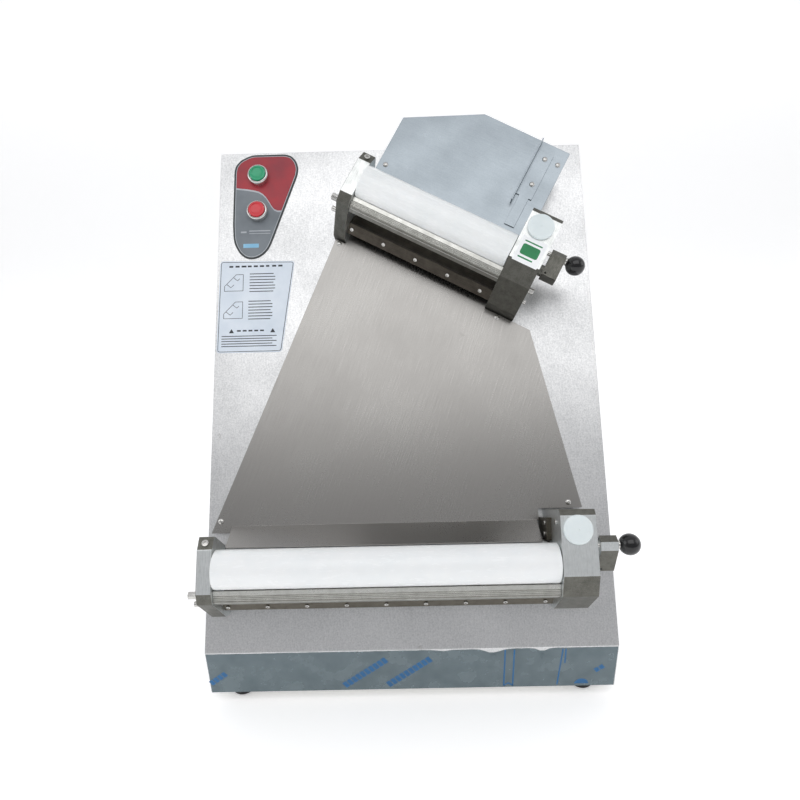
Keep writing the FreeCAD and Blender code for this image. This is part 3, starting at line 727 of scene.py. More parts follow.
@dataclass(frozen=True)
class PrintedFilm:
    """Screen-printed polyester or adhesive film: flat ink over a faint dimpled lacquer."""

    name: str
    colour: str
    second: str
    roughness: float = 0.38
    metallic: float = 0.0
    wrinkle_mm: float = 0.0

    def dress(self) -> bpy.types.Material:
        """Makes the material.

        Returns:
            The material.
        """
        w = Weave(self.name)
        cloud = w.noise(28, 4, 0.55)
        dimple = w.noise(0.7, 2, 0.5)
        tone = w.mix(w.span(cloud, 0.32, 0.68), self.colour, self.second)
        w.feed(Base_Color=tone, Roughness=w.span(cloud, 0.3, 0.7, self.roughness - 0.05,
                                                 self.roughness + 0.08))
        w.set(Metallic=self.metallic, IOR=1.5)
        w.raise_by(dimple, 0.01, 0.3)
        if self.wrinkle_mm:
            crease = w.add("ShaderNodeTexNoise", {"Scale": 1.0, "Detail": 5.0, "Roughness": 0.65,
                                                  "Distortion": 1.2},
                           {"Vector": w.stretched((12, 60, 34), (0, 24, 0))}).outputs["Fac"]
            w.raise_by(crease, self.wrinkle_mm, 0.5)
        return w.material


FACE_UP = lay_of(PANEL, 90)
CHUTE_LAY = lay_of(PANEL, 90 - 20)
ALONG_X = (0, 0, 0)
UPPER_LAY = lay_of(UNITS["upper"], 0)
UPPER_UP = lay_of(UNITS["upper"], 90)


class Finish(Enum):
    """Every finish on the machine, by the material slot it belongs to; a few are darker or paler
    copies that paint shade or a highlight.
    """

    CASING = ("casing_steel", SheetSteel("cold_rolled_stainless", "eeeeee", "b9babb", 0.37,
                                         FACE_UP, 1.1, 7.0, 0.45, 85, 0.4, 1.9, 0.75))
    COVER = ("plate_steel", SheetSteel("rolled_stainless_cover", "d9d8d4", "a9a8a3", 0.34,
                                       ALONG_X, 0.9, 30.0))
    CHUTE = ("plate_steel", SheetSteel("brushed_stainless_chute", "aaa8a5", "8b8885", 0.31,
                                       CHUTE_LAY, 0.7, 42.0, 0.5, 120, 0.35, 1.6, 0.2))
    INFEED = ("infeed_steel", SheetSteel("bright_stainless_infeed", "a2aab0", "868e94", 0.33,
                                         UPPER_LAY, 0.8, 30.0, 0.35, 55, 0.5, 1.6, 0.35))
    BLOCK = ("block_aluminium", MilledMetal("milled_aluminium", "f3f6f6", "c0c4c3", 0.36,
                                            FACE_UP, 0.6, 13.0))
    BLOCK_UPPER = ("block_aluminium", MilledMetal("milled_aluminium_upper", "f1f3f2", "bcbebb",
                                                  0.38, UPPER_UP, 0.6, 13.0))
    # The two darker milled-aluminium copies below paint shade on the block faces turned up or
    # down the slope.
    BLOCK_SHADE = ("block_aluminium", MilledMetal("milled_aluminium_painted_shade", "7b7a74", "4a4a44",
                                                  0.46, FACE_UP, 0.6, 13.0))
    BLOCK_SHADE_UPPER = ("block_aluminium", MilledMetal(
        "milled_aluminium_upper_painted_shade", "7b7a74", "4a4a44", 0.46, UPPER_UP, 0.6, 13.0))
    # A much paler steel for the chute's sideways edge faces: painted highlight along its edges.
    CHUTE_EDGE = ("plate_steel", MilledMetal("chute_edge_painted_highlight", "e6e6e3", "b4b4b0", 0.3,
                                             CHUTE_LAY, 0.4, 20.0))
    GUARD = ("guard_aluminium", MilledMetal("extruded_aluminium", "e9e9e4", "a4a49d", 0.30,
                                            ALONG_X, 0.5, 46.0, 0.4))
    # A darker copy of the extruded aluminium: painted shade on the guard's faces not turned
    # straight out.
    GUARD_SHADE = ("guard_aluminium", MilledMetal("extruded_aluminium_painted_shade", "9c9b95",
                                                  "6f6e68", 0.36, ALONG_X, 0.5, 46.0, 0.4))
    GUARD_UPPER = ("guard_aluminium", MilledMetal("extruded_aluminium_upper", "e9e9e4", "a4a49d",
                                                  0.30, UPPER_LAY, 0.5, 46.0, 0.4))
    SCRAPER = ("plate_steel", MilledMetal("ground_scraper_steel", "6e695f", "48443b", 0.38,
                                          ALONG_X, 0.5, 26.0))
    # A darker copy of the scraper steel for the upper unit: painted shade.
    SCRAPER_UPPER = ("plate_steel", MilledMetal("ground_scraper_steel_upper_painted_shade", "57524b", "35312c",
                                                0.42, UPPER_LAY, 0.5, 26.0))
    BRIGHT = ("bright_steel", MilledMetal("turned_bright_steel", "dcdbd8", "8b8984", 0.24,
                                          ALONG_X, 0.35, 1.2, 0.4))
    GEAR = ("gear_steel", MilledMetal("hobbed_gear_steel", "97948f", "57544f", 0.36,
                                      ALONG_X, 0.4, 5.0))
    ZINC = ("zinc_screw", MilledMetal("zinc_plated_screw", "e0dfdc", "8f8d88", 0.26,
                                      ALONG_X, 0.4, 0.8, 0.4, 2.0))
    ROLLER = ("roller_plastic", TurnedPlastic("white_acetal_roller", "fafcfc", "f0f4f5", "b4b6b4",
                                              0.2, ALONG_X))
    ROLLER_UPPER = ("roller_plastic", TurnedPlastic("white_acetal_roller_upper", "f5f7f7",
                                                    "e8ecec", "bdb5a9", 0.22, UPPER_LAY, 0.35))
    PLUG = ("plug_plastic", TurnedPlastic("white_plug_plastic", "e7eff0", "d5dfe1", "b4bcbc",
                                          0.33, FACE_UP, 0.3))
    KNOB = ("black_knob", MouldedPlastic("black_phenolic", "030304", "070708", 0.14, 0.8, 0.006,
                                         9, 0.2, "2a2a2c", 0.03))
    BORDER = ("overlay_film", PrintedFilm("overlay_border_ink", "2b3032", "363c3e", 0.4))
    TRIM = ("overlay_film", PrintedFilm("overlay_trim_ink", "b9bdc2", "a6abb1", 0.42))
    RED_FIELD = ("overlay_film", PrintedFilm("overlay_red_ink", "a82531", "8d2f3a", 0.36))
    GREY_FIELD = ("overlay_film", PrintedFilm("overlay_grey_ink", "7b8288", "70777d", 0.4))
    BLUE_MARK = ("overlay_film", PrintedFilm("overlay_blue_ink", "7fb9da", "a8d2e8", 0.4))
    LABEL = ("label_film", PrintedFilm("white_label_film", "e3ebf4", "d7e1ec", 0.42))
    STICKER = ("label_film", PrintedFilm("white_sticker_film", "fbfcfd", "f3f5f7", 0.4))
    LABEL_INK = ("label_film", PrintedFilm("black_label_ink", "23262b", "32363c", 0.5))
    GREEN_INK = ("label_film", PrintedFilm("green_label_ink", "1d8b52", "177846", 0.42))
    FILM = ("casing_steel", PrintedFilm("blue_grey_protective_film", "5f6c71", "727e83", 0.24,
                                        0.55, 0.25))
    FILM_INK = ("casing_steel", PrintedFilm("blue_film_print", "12659c", "0f5a8d", 0.3))
    BEZEL = ("bezel_metal", MilledMetal("satin_chrome", "dddddb", "b2b1ae", 0.22, FACE_UP, 0.4,
                                        3.0, 0.3))
    GREEN = ("green_plastic", MouldedPlastic("green_button_plastic", "23986a", "2ba577", 0.3,
                                             0.6, 0.01, 12, 0.25, "5fbf98", 0.1))
    RED = ("red_plastic", MouldedPlastic("red_button_plastic", "cb3038", "d43c45", 0.3,
                                         0.6, 0.01, 12, 0.25, "dd6a70", 0.1))
    BLACK = ("black_plastic", MouldedPlastic("black_switch_plastic", "191a1c", "232427", 0.45))
    GREY = ("grey_plastic", MouldedPlastic("grey_enclosure_plastic", "8f9497", "84898c", 0.5))
    RUBBER = ("foot_rubber", MouldedPlastic("black_foot_rubber", "17181a", "222325", 0.62, 0.6,
                                            0.05, 8, 0.0, "77756f", 0.3))
    BELT = ("belt_rubber", MouldedPlastic("ribbed_belt_rubber", "1c1c1d", "2a2928", 0.7, 0.9,
                                          0.08, 6, 0.0, "6f6c66", 0.25))
    MOTOR = ("motor_paint", MouldedPlastic("hammered_motor_enamel", "4b5a60", "56666c", 0.42,
                                           2.2, 0.12, 30, 0.3))


class Palette:
    """The materials, each made once."""

    def __init__(self) -> None:
        """Starts with none made."""
        self.made: dict[Finish, bpy.types.Material] = {}

    def dress(self, piece: Piece, body: str, finish: Finish) -> Piece:
        """Gives a piece its finish and body, and reports it.

        Args:
            piece: The piece.
            body: The CAD body it moves with.
            finish: Its finish.

        Returns:
            The same piece.
        """
        slot, recipe = finish.value
        if finish not in self.made:
            self.made[finish] = recipe.dress()
        piece.data.materials.clear()
        piece.data.materials.append(self.made[finish])
        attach(piece, body)
        LOG.info("%s rides %s in %s", piece.name, body, recipe.name)
        return piece

    def accent(self, piece: Piece, finish: Finish, chosen: Callable[[Vector], bool]) -> Piece:
        """Gives the faces that look some way a second finish, a darker or paler copy that paints
        shade or a highlight on them.

        Args:
            piece: The piece, already dressed and seated.
            finish: The second finish, of the same slot as the first.
            chosen: Tells from a face's normal whether it takes the second finish.

        Returns:
            The same piece.
        """
        if finish not in self.made:
            self.made[finish] = finish.value[1].dress()
        piece.data.materials.append(self.made[finish])
        for face in piece.data.polygons:
            if chosen(face.normal):
                face.material_index = len(piece.data.materials) - 1
        return piece


STATIC = "casing_body"
PALETTE = Palette()


def dressed_copy(node: str, name: str, body: str, finish: Finish, width: float = 0.4,
                 segments: int = 2, degrees: float = 30) -> Piece:
    """A rounded copy of a designed part, with its finish.

    Args:
        node: The part.
        name: The new piece's name.
        body: The body it moves with.
        finish: Its finish.
        width: The edge rounding in millimetres.
        segments: The steps across the rounding.
        degrees: The least angle of an edge that is rounded.

    Returns:
        The new piece.
    """
    return PALETTE.dress(softened_copy(node, name, width, segments, degrees), body, finish)


# ---- small parts ----------------------------------------------------------------------

@dataclass(frozen=True)
class SocketScrew:
    """A cap screw whose head has a chamfered rim and a real hexagonal socket."""

    radius: float
    height: float
    corners: int = 0

    def build(self, name: str) -> Piece:
        """Makes one screw standing on its bench, its head upwards.

        Args:
            name: The piece's name.

        Returns:
            The piece; with corners set it is a hexagon-headed bolt instead.
        """
        clear_selection()
        steps = self.corners or 24
        bpy.ops.mesh.primitive_cylinder_add(vertices=steps, radius=self.radius * MM,
                                            depth=self.height * MM,
                                            location=(0, 0, self.height * MM / 2))
        piece = name_piece(name)
        settle(piece)
        soften(piece, min(self.radius, self.height) * 0.16, 2)
        socket_radius = self.radius * (0.52 if not self.corners else 0.42)
        bpy.ops.mesh.primitive_cylinder_add(
            vertices=6 if not self.corners else 16, radius=socket_radius * MM,
            depth=self.height * MM,
            location=(0, 0, self.height * MM * (1.0 if not self.corners else 1.35)))
        cut_away(piece, name_piece(f"{name}_socket"))
        smooth(piece)
        return piece


@dataclass(frozen=True)
class DomeScrew:
    """A dome-headed screw with a small hexagonal socket in its crown."""

    radius: float = 3.6

    def build(self, name: str) -> Piece:
        """Makes one dome screw on its bench.

        Args:
            name: The piece's name.

        Returns:
            The piece.
        """
        r = self.radius
        arc = [(r * math.cos(a), r * 0.5 * math.sin(a) + 0.15)
               for a in (math.radians(d) for d in range(0, 90, 10))]
        dome = lathe(name, [(0, 0), (r, 0)] + arc + [(0, r * 0.5 + 0.15)], 32)
        clear_selection()
        bpy.ops.mesh.primitive_cylinder_add(vertices=6, radius=r * 0.34 * MM, depth=1.6 * MM,
                                            location=(0, 0, (r * 0.5 + 0.35) * MM))
        cut_away(dome, name_piece(f"{name}_socket"))
        smooth(dome)
        return dome


def place_many(name: str, master: Piece, seats: list[Bench]) -> Piece:
    """Copies a small part to several benches and welds the copies into one piece.

    Args:
        name: The piece's name.
        master: The part, on its own bench; it is used up.
        seats: Where the copies go.

    Returns:
        The piece.
    """
    copies = [seat(duplicate(master, f"{name}_{i}"), bench) for i, bench in enumerate(seats)]
    bpy.data.objects.remove(master)
    return weld(name, copies)


def facing(bench: Bench, out: tuple[float, float, float],
           at: tuple[float, float, float]) -> Bench:
    """A bench at a place in another, whose third axis points the given way.

    Args:
        bench: The frame that the place and direction are given in.
        out: The direction, on that frame's axes.
        at: The place in millimetres.

    Returns:
        The new bench.
    """
    along = (bench.across * out[0] + bench.up * out[1] + bench.out * out[2]).normalized()
    guide = bench.up if abs(bench.across.dot(along)) > 0.9 else bench.across
    across = (guide - along * guide.dot(along)).normalized()
    return Bench(bench.point(*at), across, along.cross(across), along)


# ---- casing ---------------------------------------------------------------------------

@dataclass
class Casing:
    """The sheet-metal shell, its cover, feet, gland and the film left on its skirt."""

    width: float = 520.0
    skirt: float = 64.0
    foot: float = 15.0
    film_gap: float = 1.1
    film_top: float = 1.2
    foot_radius: float = 15.0

    def build(self) -> None:
        """Builds every piece of the casing."""
        dressed_copy("casing", "casing_shell", STATIC, Finish.CASING, 0.6, 3)
        dressed_copy("base_plate", "base_sheet", STATIC, Finish.COVER, 0.3)
        dressed_copy("back_cover", "vented_back_cover", STATIC, Finish.COVER, 0.25, 1)
        self.feet()
        self.gland()
        dressed_copy("terminal_box", "terminal_enclosure", STATIC, Finish.GREY, 2.0, 3)
        self.film()

    def feet(self) -> None:
        """Four moulded rubber feet with a groove and a hollow for the screw."""
        r, h = self.foot_radius, self.foot
        profile = [(0, 3.0), (4.2, 3.0), (5.2, 0.6), (r - 1.2, 0), (r, 1.2), (r - 0.4, 4.6),
                   (r - 1.3, 5.2), (r - 1.2, 6.0), (r - 1.0, 6.6), (r - 2.0, h - 1), (r - 2.6, h),
                   (0, h)]
        master = lathe("foot_master", profile, 40)
        low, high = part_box("feet")
        seats = []
        inset = self.foot_radius * MM
        for x in (low.x + inset, high.x - inset):
            for y in (low.y + inset, high.y - inset):
                seats.append(Bench(Vector((x, y, 0)), Vector((1, 0, 0)), Vector((0, 1, 0)),
                                   Vector((0, 0, 1))))
        feet = place_many("rubber_feet", master, seats)
        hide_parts("feet")
        PALETTE.dress(feet, STATIC, Finish.RUBBER)

    def gland(self) -> None:
        """A dome nut on a threaded body, open for the mains lead."""
        low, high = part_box("cable_gland")
        middle = (low + high) / 2
        length = (high.y - low.y) / MM
        bore = 4.55
        nut = length - 12
        thread = [(10 - 0.5 * (i % 2), nut * i / 14) for i in range(14)]
        profile = [(bore, 0)] + thread + [(10, nut), (13.6, nut), (14, nut + 0.5), (14, nut + 7),
                                          (11.5, nut + 11), (8, nut + 12), (bore, nut + 12)]
        gland = lathe("mains_gland", profile + [(bore, 0)], 48)
        seat(gland, facing(machine_bench(), (0, 1, 0),
                           (middle.x / MM, low.y / MM, middle.z / MM)))
        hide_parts("cable_gland")
        PALETTE.dress(gland, STATIC, Finish.BLACK)

    def film(self) -> None:
        """The protective film left on the skirt, torn along its top, with plain blue bars."""
        low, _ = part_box("casing")
        front = Bench(Vector((low.x, low.y, self.foot * MM)), Vector((1, 0, 0)),
                      Vector((0, 0, 1)), Vector((0, -1, 0)))
        rng = random.Random(7)
        top = self.skirt - self.film_top
        edge = []
        tears = ((362, 6.0, 12), (424, 5.0, 7), (300, 2.0, 10))
        steps = 90
        for i in range(steps + 1):
            x = self.width - self.film_gap - i * (self.width - 2 * self.film_gap) / steps
            dip = sum(deep * math.exp(-((x - at) / wide) ** 2) for at, deep, wide in tears)
            edge.append((x, top - dip + rng.uniform(-0.25, 0.25)))
        outline = [(self.film_gap, 0.4), (self.width - self.film_gap, 0.4)] + edge
        film = outline_solid("skirt_film", outline, 0.16, 0.02)
        smooth(seat(film, front))
        PALETTE.dress(film, STATIC, Finish.FILM)
        self.film_print(front)
        self.film_flaps(front)

    def film_print(self, front: Bench) -> None:
        """Plain blue marks on the film: upright lines, a ribbon and slanting bars."""
        lift, thick = 0.2, 0.05
        half_line = 0.9
        pitch, block_length = 7, 5.7
        marks = []
        for x, bottom, top in ((377.7, 2, 61), (389.2, 2, 61), (453.7, 38, 61)):
            marks.append([(x - half_line, bottom), (x + half_line, bottom),
                          (x + half_line, top), (x - half_line, top)])
        marks.append([(445.1, 3), (446.9, 3), (450.9, 61), (449.1, 61)])
        marks.append([(377.7, 2), (383.4, 6), (389.2, 2), (389.2, 4.2), (383.4, 8.2),
                      (377.7, 4.2)])
        slant = math.radians(37)
        for start, y, length, breadth in ((176, 4, 72, 9.5), (232, 4, 72, 9.5), (4, 12, 34, 8),
                                          (495, 22, 20, 7)):
            for block in range(int(length // pitch)):
                x = start + block * pitch * math.cos(slant)
                rise = y + block * pitch * math.sin(slant)
                if not 2 < rise < 52 or x > 510:
                    continue
                ax, ay = block_length * math.cos(slant), block_length * math.sin(slant)
                bx, by = -breadth * math.sin(slant), breadth * math.cos(slant)
                marks.append([(x, rise), (x + ax, rise + ay), (x + ax + bx, rise + ay + by),
                              (x + bx, rise + by)])
        disc = [(477 + 9 * math.cos(a), 4 + 8 * math.sin(a))
                for a in (math.pi * i / 14 for i in range(15))]
        marks.append(disc)
        bars = [outline_solid(f"film_bar_{i}", outline, thick, lift)
                for i, outline in enumerate(marks)]
        print_layer = seat(weld("film_print", bars), front)
        PALETTE.dress(print_layer, STATIC, Finish.FILM_INK)

    def film_flaps(self, front: Bench) -> None:
        """Two small curled scraps where the film has been torn."""
        flaps = []
        for i, (x, wide, long) in enumerate(((359, 8, 10), (422, 5, 8))):
            flap = outline_solid(f"film_flap_{i}", [(0, 0), (wide, 0), (wide * 0.7, -long * 0.6),
                                                    (wide * 0.35, -long)], 0.14, 0)
            edit_all(flap)
            bpy.ops.mesh.subdivide(number_cuts=4)
            close_edit()
            for corner in flap.data.vertices:
                fall = -corner.co.y / (long * MM)
                corner.co.z += 1.8 * MM * fall ** 2
            flaps.append(seat(flap, front.moved(x, self.skirt - 9.5, 0.25)))
        scraps = weld("film_scraps", flaps)
        smooth(scraps)
        PALETTE.dress(scraps, STATIC, Finish.FILM)


# ---- controls -------------------------------------------------------------------------

@dataclass
class Controls:
    """The printed overlay, the instruction label and the two push buttons."""

    button_x: float = 56.0
    heights: dict[str, float] = field(default_factory=lambda: {"start": 650.2, "stop": 594.8})
    bezel_radius: float = 14.75
    cap_radius: float = 11.2
    hole_radius: float = 11.1
    hole_depth: float = 40.0
    overlay: tuple[tuple[float, float], ...] = (
        (20.3, 577), (21.8, 555), (24.5, 545), (30.6, 533.9), (38.8, 526.5), (46.9, 524.3),
        (55, 525.3), (64, 530), (71.9, 538.8), (76.3, 548.7), (111.8, 651), (113.2, 662.3),
        (110, 673.4), (103, 682), (93.5, 685), (47, 685), (39, 682.3), (28.5, 676.5), (22, 668),
        (20.3, 659.8))
    label: tuple[tuple[float, float], ...] = ((4, 522.5), (109, 520.5), (92.5, 389), (2.5, 389))

    def build(self) -> None:
        """Builds every piece of the controls."""
        self.build_overlay()
        self.build_label()
        dressed_copy("switch_blocks", "contact_blocks", STATIC, Finish.BLACK, 0.8)
        for name, height in self.heights.items():
            self.build_button(name, height)

    def inset(self, outline: list[tuple[float, float]],
              distance: float) -> list[tuple[float, float]]:
        """An outline drawn a distance inside another.

        Args:
            outline: The outer corners, counter-clockwise.
            distance: How far inside, in millimetres.

        Returns:
            The inner corners.
        """
        result = []
        count = len(outline)
        for i, corner in enumerate(outline):
            here = Vector(corner)
            first = (here - Vector(outline[i - 1])).normalized()
            second = (Vector(outline[(i + 1) % count]) - here).normalized()
            inward = Vector((-first.y - second.y, first.x + second.x)).normalized()
            share = max(0.5, inward.dot(Vector((-first.y, first.x))))
            spot = here + inward * distance / share
            result.append((spot.x, spot.y))
        return result

    def bore(self, piece: Piece) -> None:
        """Cuts a hole for each button's stem through a seated piece."""
        for height in self.heights.values():
            clear_selection()
            bpy.ops.mesh.primitive_cylinder_add(vertices=64, radius=self.hole_radius * MM,
                                                depth=self.hole_depth * MM)
            tool = seat(name_piece("button_bore"), PANEL, (self.button_x, height, 0))
            cut_away(piece, tool)

    def layer(self, name: str, outline: list[tuple[float, float]], lift: float,
              finish: Finish, thick: float = 0.06) -> Piece:
        """One printed layer lying on the panel, bored where a button's stem meets it.

        Args:
            name: The piece's name.
            outline: Its outline in panel millimetres.
            lift: Its height above the panel.
            finish: Its ink.
            thick: Its thickness.

        Returns:
            The piece.
        """
        piece = seat(outline_solid(name, outline, thick, lift), PANEL)
        self.bore(piece)
        return PALETTE.dress(piece, STATIC, finish)

    def build_overlay(self) -> None:
        """Border, pale line, red and grey fields, and plain marks; bored for the buttons."""
        outer = rounded(list(self.overlay), 4, 3)
        base = outline_solid("overlay_border", outer, 0.72)
        seat(base, PANEL)
        soften(base, 0.15, 1)
        self.bore(base)
        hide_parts("control_overlay")
        PALETTE.dress(base, STATIC, Finish.BORDER)
        inner = self.inset(outer, 2.6)
        self.layer("overlay_trim", inner, 0.72, Finish.TRIM)
        field_outline = self.inset(outer, 3.5)
        self.layer("overlay_grey_field", field_outline, 0.78, Finish.GREY_FIELD)
        divider = self.divider()
        self.cut_field("overlay_trim_curve", field_outline, divider, 2.4, Finish.TRIM, 0.84)
        self.cut_field("overlay_red_field", field_outline, divider, 0.0, Finish.RED_FIELD, 0.9)
        bars = [outline_solid(f"mark_bar_{i}", box_outline(x, y, wide, tall), 0.05, 0.84)
                for i, (x, y, wide, tall) in enumerate(((44, 566, 30, 1.6), (44, 562.4, 30, 0.9),
                                                        (32, 564, 8, 2.4)))]
        marks = seat(weld("overlay_marks", bars), PANEL)
        PALETTE.dress(marks, STATIC, Finish.TRIM)
        self.layer("overlay_blue_mark", box_outline(36, 541.5, 22, 6), 0.84, Finish.BLUE_MARK)
        self.layer("overlay_red_tick", box_outline(50, 609.3, 13, 1.1), 0.84, Finish.RED_FIELD)

    def divider(self) -> list[tuple[float, float]]:
        """The S-shaped line between the fields, from the left edge to the right one."""
        ends = [(10, 634), (24, 633.4), (38, 631.5), (48, 629.6), (56, 627.4), (62, 623.6),
                (67, 618), (71, 611.6), (75, 604.6), (79, 599.4), (84, 597.2), (97, 596.5)]
        curve = []
        for i in range(len(ends) - 1):
            (x1, y1), (x2, y2) = ends[i], ends[i + 1]
            for step in range(4):
                t = step / 4
                curve.append((x1 + (x2 - x1) * t, y1 + (y2 - y1) * t))
        return curve + [ends[-1]]

    def cut_field(self, name: str, outline: list[tuple[float, float]],
                  divider: list[tuple[float, float]], drop: float, finish: Finish,
                  lift: float) -> None:
        """The part of an outline that lies above the divider.

        Args:
            name: The piece's name.
            outline: The whole field's outline, counter-clockwise.
            divider: The dividing line, from left to right.
            drop: How far the line is lowered, in millimetres.
            finish: The ink.
            lift: Its height above the panel.
        """
        line = [(x, y - drop) for x, y in divider]

        def height(x: float) -> float:
            """The divider's height at a place across."""
            for (x1, y1), (x2, y2) in zip(line, line[1:]):
                if x1 <= x <= x2:
                    return y1 + (y2 - y1) * (x - x1) / (x2 - x1)
            return line[0][1] if x < line[0][0] else line[-1][1]

        dense = []
        count = len(outline)
        for i, (x1, y1) in enumerate(outline):
            x2, y2 = outline[(i + 1) % count]
            pieces = max(1, int(math.hypot(x2 - x1, y2 - y1) / 1.0))
            dense += [(x1 + (x2 - x1) * k / pieces, y1 + (y2 - y1) * k / pieces)
                      for k in range(pieces)]
        above = [spot[1] > height(spot[0]) for spot in dense]
        start = next(i for i in range(len(dense)) if above[i] and not above[i - 1])
        kept = []
        for i in range(len(dense)):
            j = (start + i) % len(dense)
            if not above[j]:
                break
            kept.append(dense[j])
        right, left = kept[0][0], kept[-1][0]
        middle = [spot for spot in line if left < spot[0] < right]
        self.layer(name, kept + middle, lift, finish)

    def build_label(self) -> None:
        """The white label: black frame, plain pictograms and bars that stand for text."""
        outline = rounded(list(self.label), 5, 4)[::-1]
        base = seat(outline_solid("label_sheet", outline, 0.26), PANEL)
        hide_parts("instruction_label")
        PALETTE.dress(base, STATIC, Finish.LABEL)
        frame_outline = self.inset(outline, 1.3)
        self.layer("label_frame", frame_outline, 0.26, Finish.LABEL_INK, 0.04)
        self.layer("label_field", self.inset(outline, 2.1), 0.3, Finish.LABEL, 0.04)
        rng = random.Random(11)
        bars = []
        for i in range(9):
            bars.append(box_outline(17 + i * 8.6, 512.6, 5.6 + rng.uniform(-1.5, 1.5), 2.6))
        for top in (502, 462):
            for row in range(7):
                wide = 38 - (2.0 if row % 3 else 4.5) - (504 - top) * 0.06
                bars.append(box_outline(46 if top == 502 else 45, top - row * 4.3, wide, 1.2))
        for i in range(5):
            bars.append(box_outline(30 + i * 8, 419, 5.4, 2.2))
        for row in range(5):
            bars.append(box_outline(9, 412 - row * 3.6, 76 - (row % 2) * 6, 1.1))
        for top in (478, 438):
            bars += self.pictogram(11, top)
        bars += [[(19, 417), (26, 417), (22.5, 423)], [(76, 417), (83, 417), (79.5, 423)]]
        items = [outline_solid(f"label_bar_{i}", bar, 0.03, 0.34) for i, bar in enumerate(bars)]
        ink = seat(weld("label_print", items), PANEL)
        PALETTE.dress(ink, STATIC, Finish.LABEL_INK)

    def pictogram(self, x: float, y: float) -> list[list[tuple[float, float]]]:
        """A plain line drawing of a wedge-shaped machine, as thin strips.

        Args:
            x: Its left edge.
            y: Its bottom edge.

        Returns:
            The strips' outlines.
        """
        ends = [((0, 0), (26, 0)), ((0, 0), (0, 7)), ((0, 7), (16, 24)), ((16, 24), (26, 24)),
                ((26, 24), (26, 0)), ((3, 10), (9, 5)), ((9, 5), (13, 9)), ((12, 20), (18, 15)),
                ((18, 15), (21, 18))]
        strips = []
        for (x1, y1), (x2, y2) in ends:
            length = math.hypot(x2 - x1, y2 - y1)
            nx, ny = -(y2 - y1) / length * 0.35, (x2 - x1) / length * 0.35
            strips.append([(x + x1 - nx, y + y1 - ny), (x + x2 - nx, y + y2 - ny),
                           (x + x2 + nx, y + y2 + ny), (x + x1 + nx, y + y1 + ny)])
        return strips

    def build_button(self, name: str, height: float) -> None:
        """One button: a turned bezel round a dished cap.

        Args:
            name: Which button.
            height: Its centre's height on the panel.
        """
        r, c = self.bezel_radius, self.cap_radius
        ring = lathe(f"{name}_ring", [
            (9.35, -18), (10.95, -18), (10.95, 0.8), (r - 0.3, 0.8), (r, 1.1), (r, 8.4),
            (r - 0.7, 9.8), (r - 1.5, 10.4), (r - 2.3, 10.5), (c + 0.45, 9.8), (c + 0.35, 6.9),
            (9.35, 6.8), (9.35, -18)], 72)
        seat(ring, PANEL, (self.button_x, height, 0))
        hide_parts(f"{name}_bezel")
        PALETTE.dress(ring, STATIC, Finish.BEZEL)
        cap = lathe(f"{name}_cap_dished", [
            (0, -12), (8.6, -12), (8.6, 9.5), (c - 0.3, 9.5), (c, 9.8), (c, 11.6),
            (c - 0.35, 12.2), (c - 1.0, 12.5), (c - 2.0, 12.4), (c - 2.5, 11.5), (c - 3.6, 11.1),
            (c - 7, 10.9), (0, 10.9)], 72)
        seat(cap, PANEL, (self.button_x, height, 0))
        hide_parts(f"{name}_button")
        PALETTE.dress(cap, f"{name}_cap", Finish.GREEN if name == "start" else Finish.RED)


def box_outline(x: float, y: float, wide: float, tall: float) -> list[tuple[float, float]]:
    """A rectangle's corners from its lower left one."""
    return [(x, y), (x + wide, y), (x + wide, y + tall), (x, y + tall)]


# ---- plates ---------------------------------------------------------------------------

@dataclass
class Plates:
    """The chute, the infeed plate and its bracket, with their dome screws."""

    chute_top: float = 10.0
    chute_spots: tuple[tuple[float, float], ...] = ((19, 163), (466, 178))
    unit_spots: tuple[tuple[float, float], ...] = ((20, -61.8), (-222, -64.8))
    infeed_spots: tuple[tuple[float, float, float], ...] = (
        (-207, 50, 50.5), (1, 154, 50.5), (-18, 153, 52), (-18, 112, 52))

    def build(self) -> None:
        """Builds every plate and its screws."""
        chute = dressed_copy("chute_plate", "brushed_chute", STATIC, Finish.CHUTE, 0.35)
        # The chute's sideways faces take the paler steel: painted highlight along its edges.
        PALETTE.accent(chute, Finish.CHUTE_EDGE,
                       lambda normal: abs(normal.dot(PANEL.across)) > 0.8)
        dressed_copy("infeed_plate", "bright_infeed_plate", STATIC, Finish.INFEED, 0.4)
        dressed_copy("infeed_bracket", "infeed_rail_and_legs", STATIC, Finish.INFEED, 0.4)
        upper = UNITS["upper"]
        seats = [facing(PANEL, (0, 0, 1), (x, y, self.chute_top)) for x, y in self.chute_spots]
        seats += [facing(upper, (0, 0, 1), (x, y, self.chute_top)) for x, y in self.unit_spots]
        seats += [facing(upper, (0, 0, 1), spot) for spot in self.infeed_spots]
        screws = place_many("dome_headed_screws", DomeScrew().build("dome_master"), seats)
        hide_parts("dome_screws")
        PALETTE.dress(screws, STATIC, Finish.ZINC)


# ---- roller units ---------------------------------------------------------------------

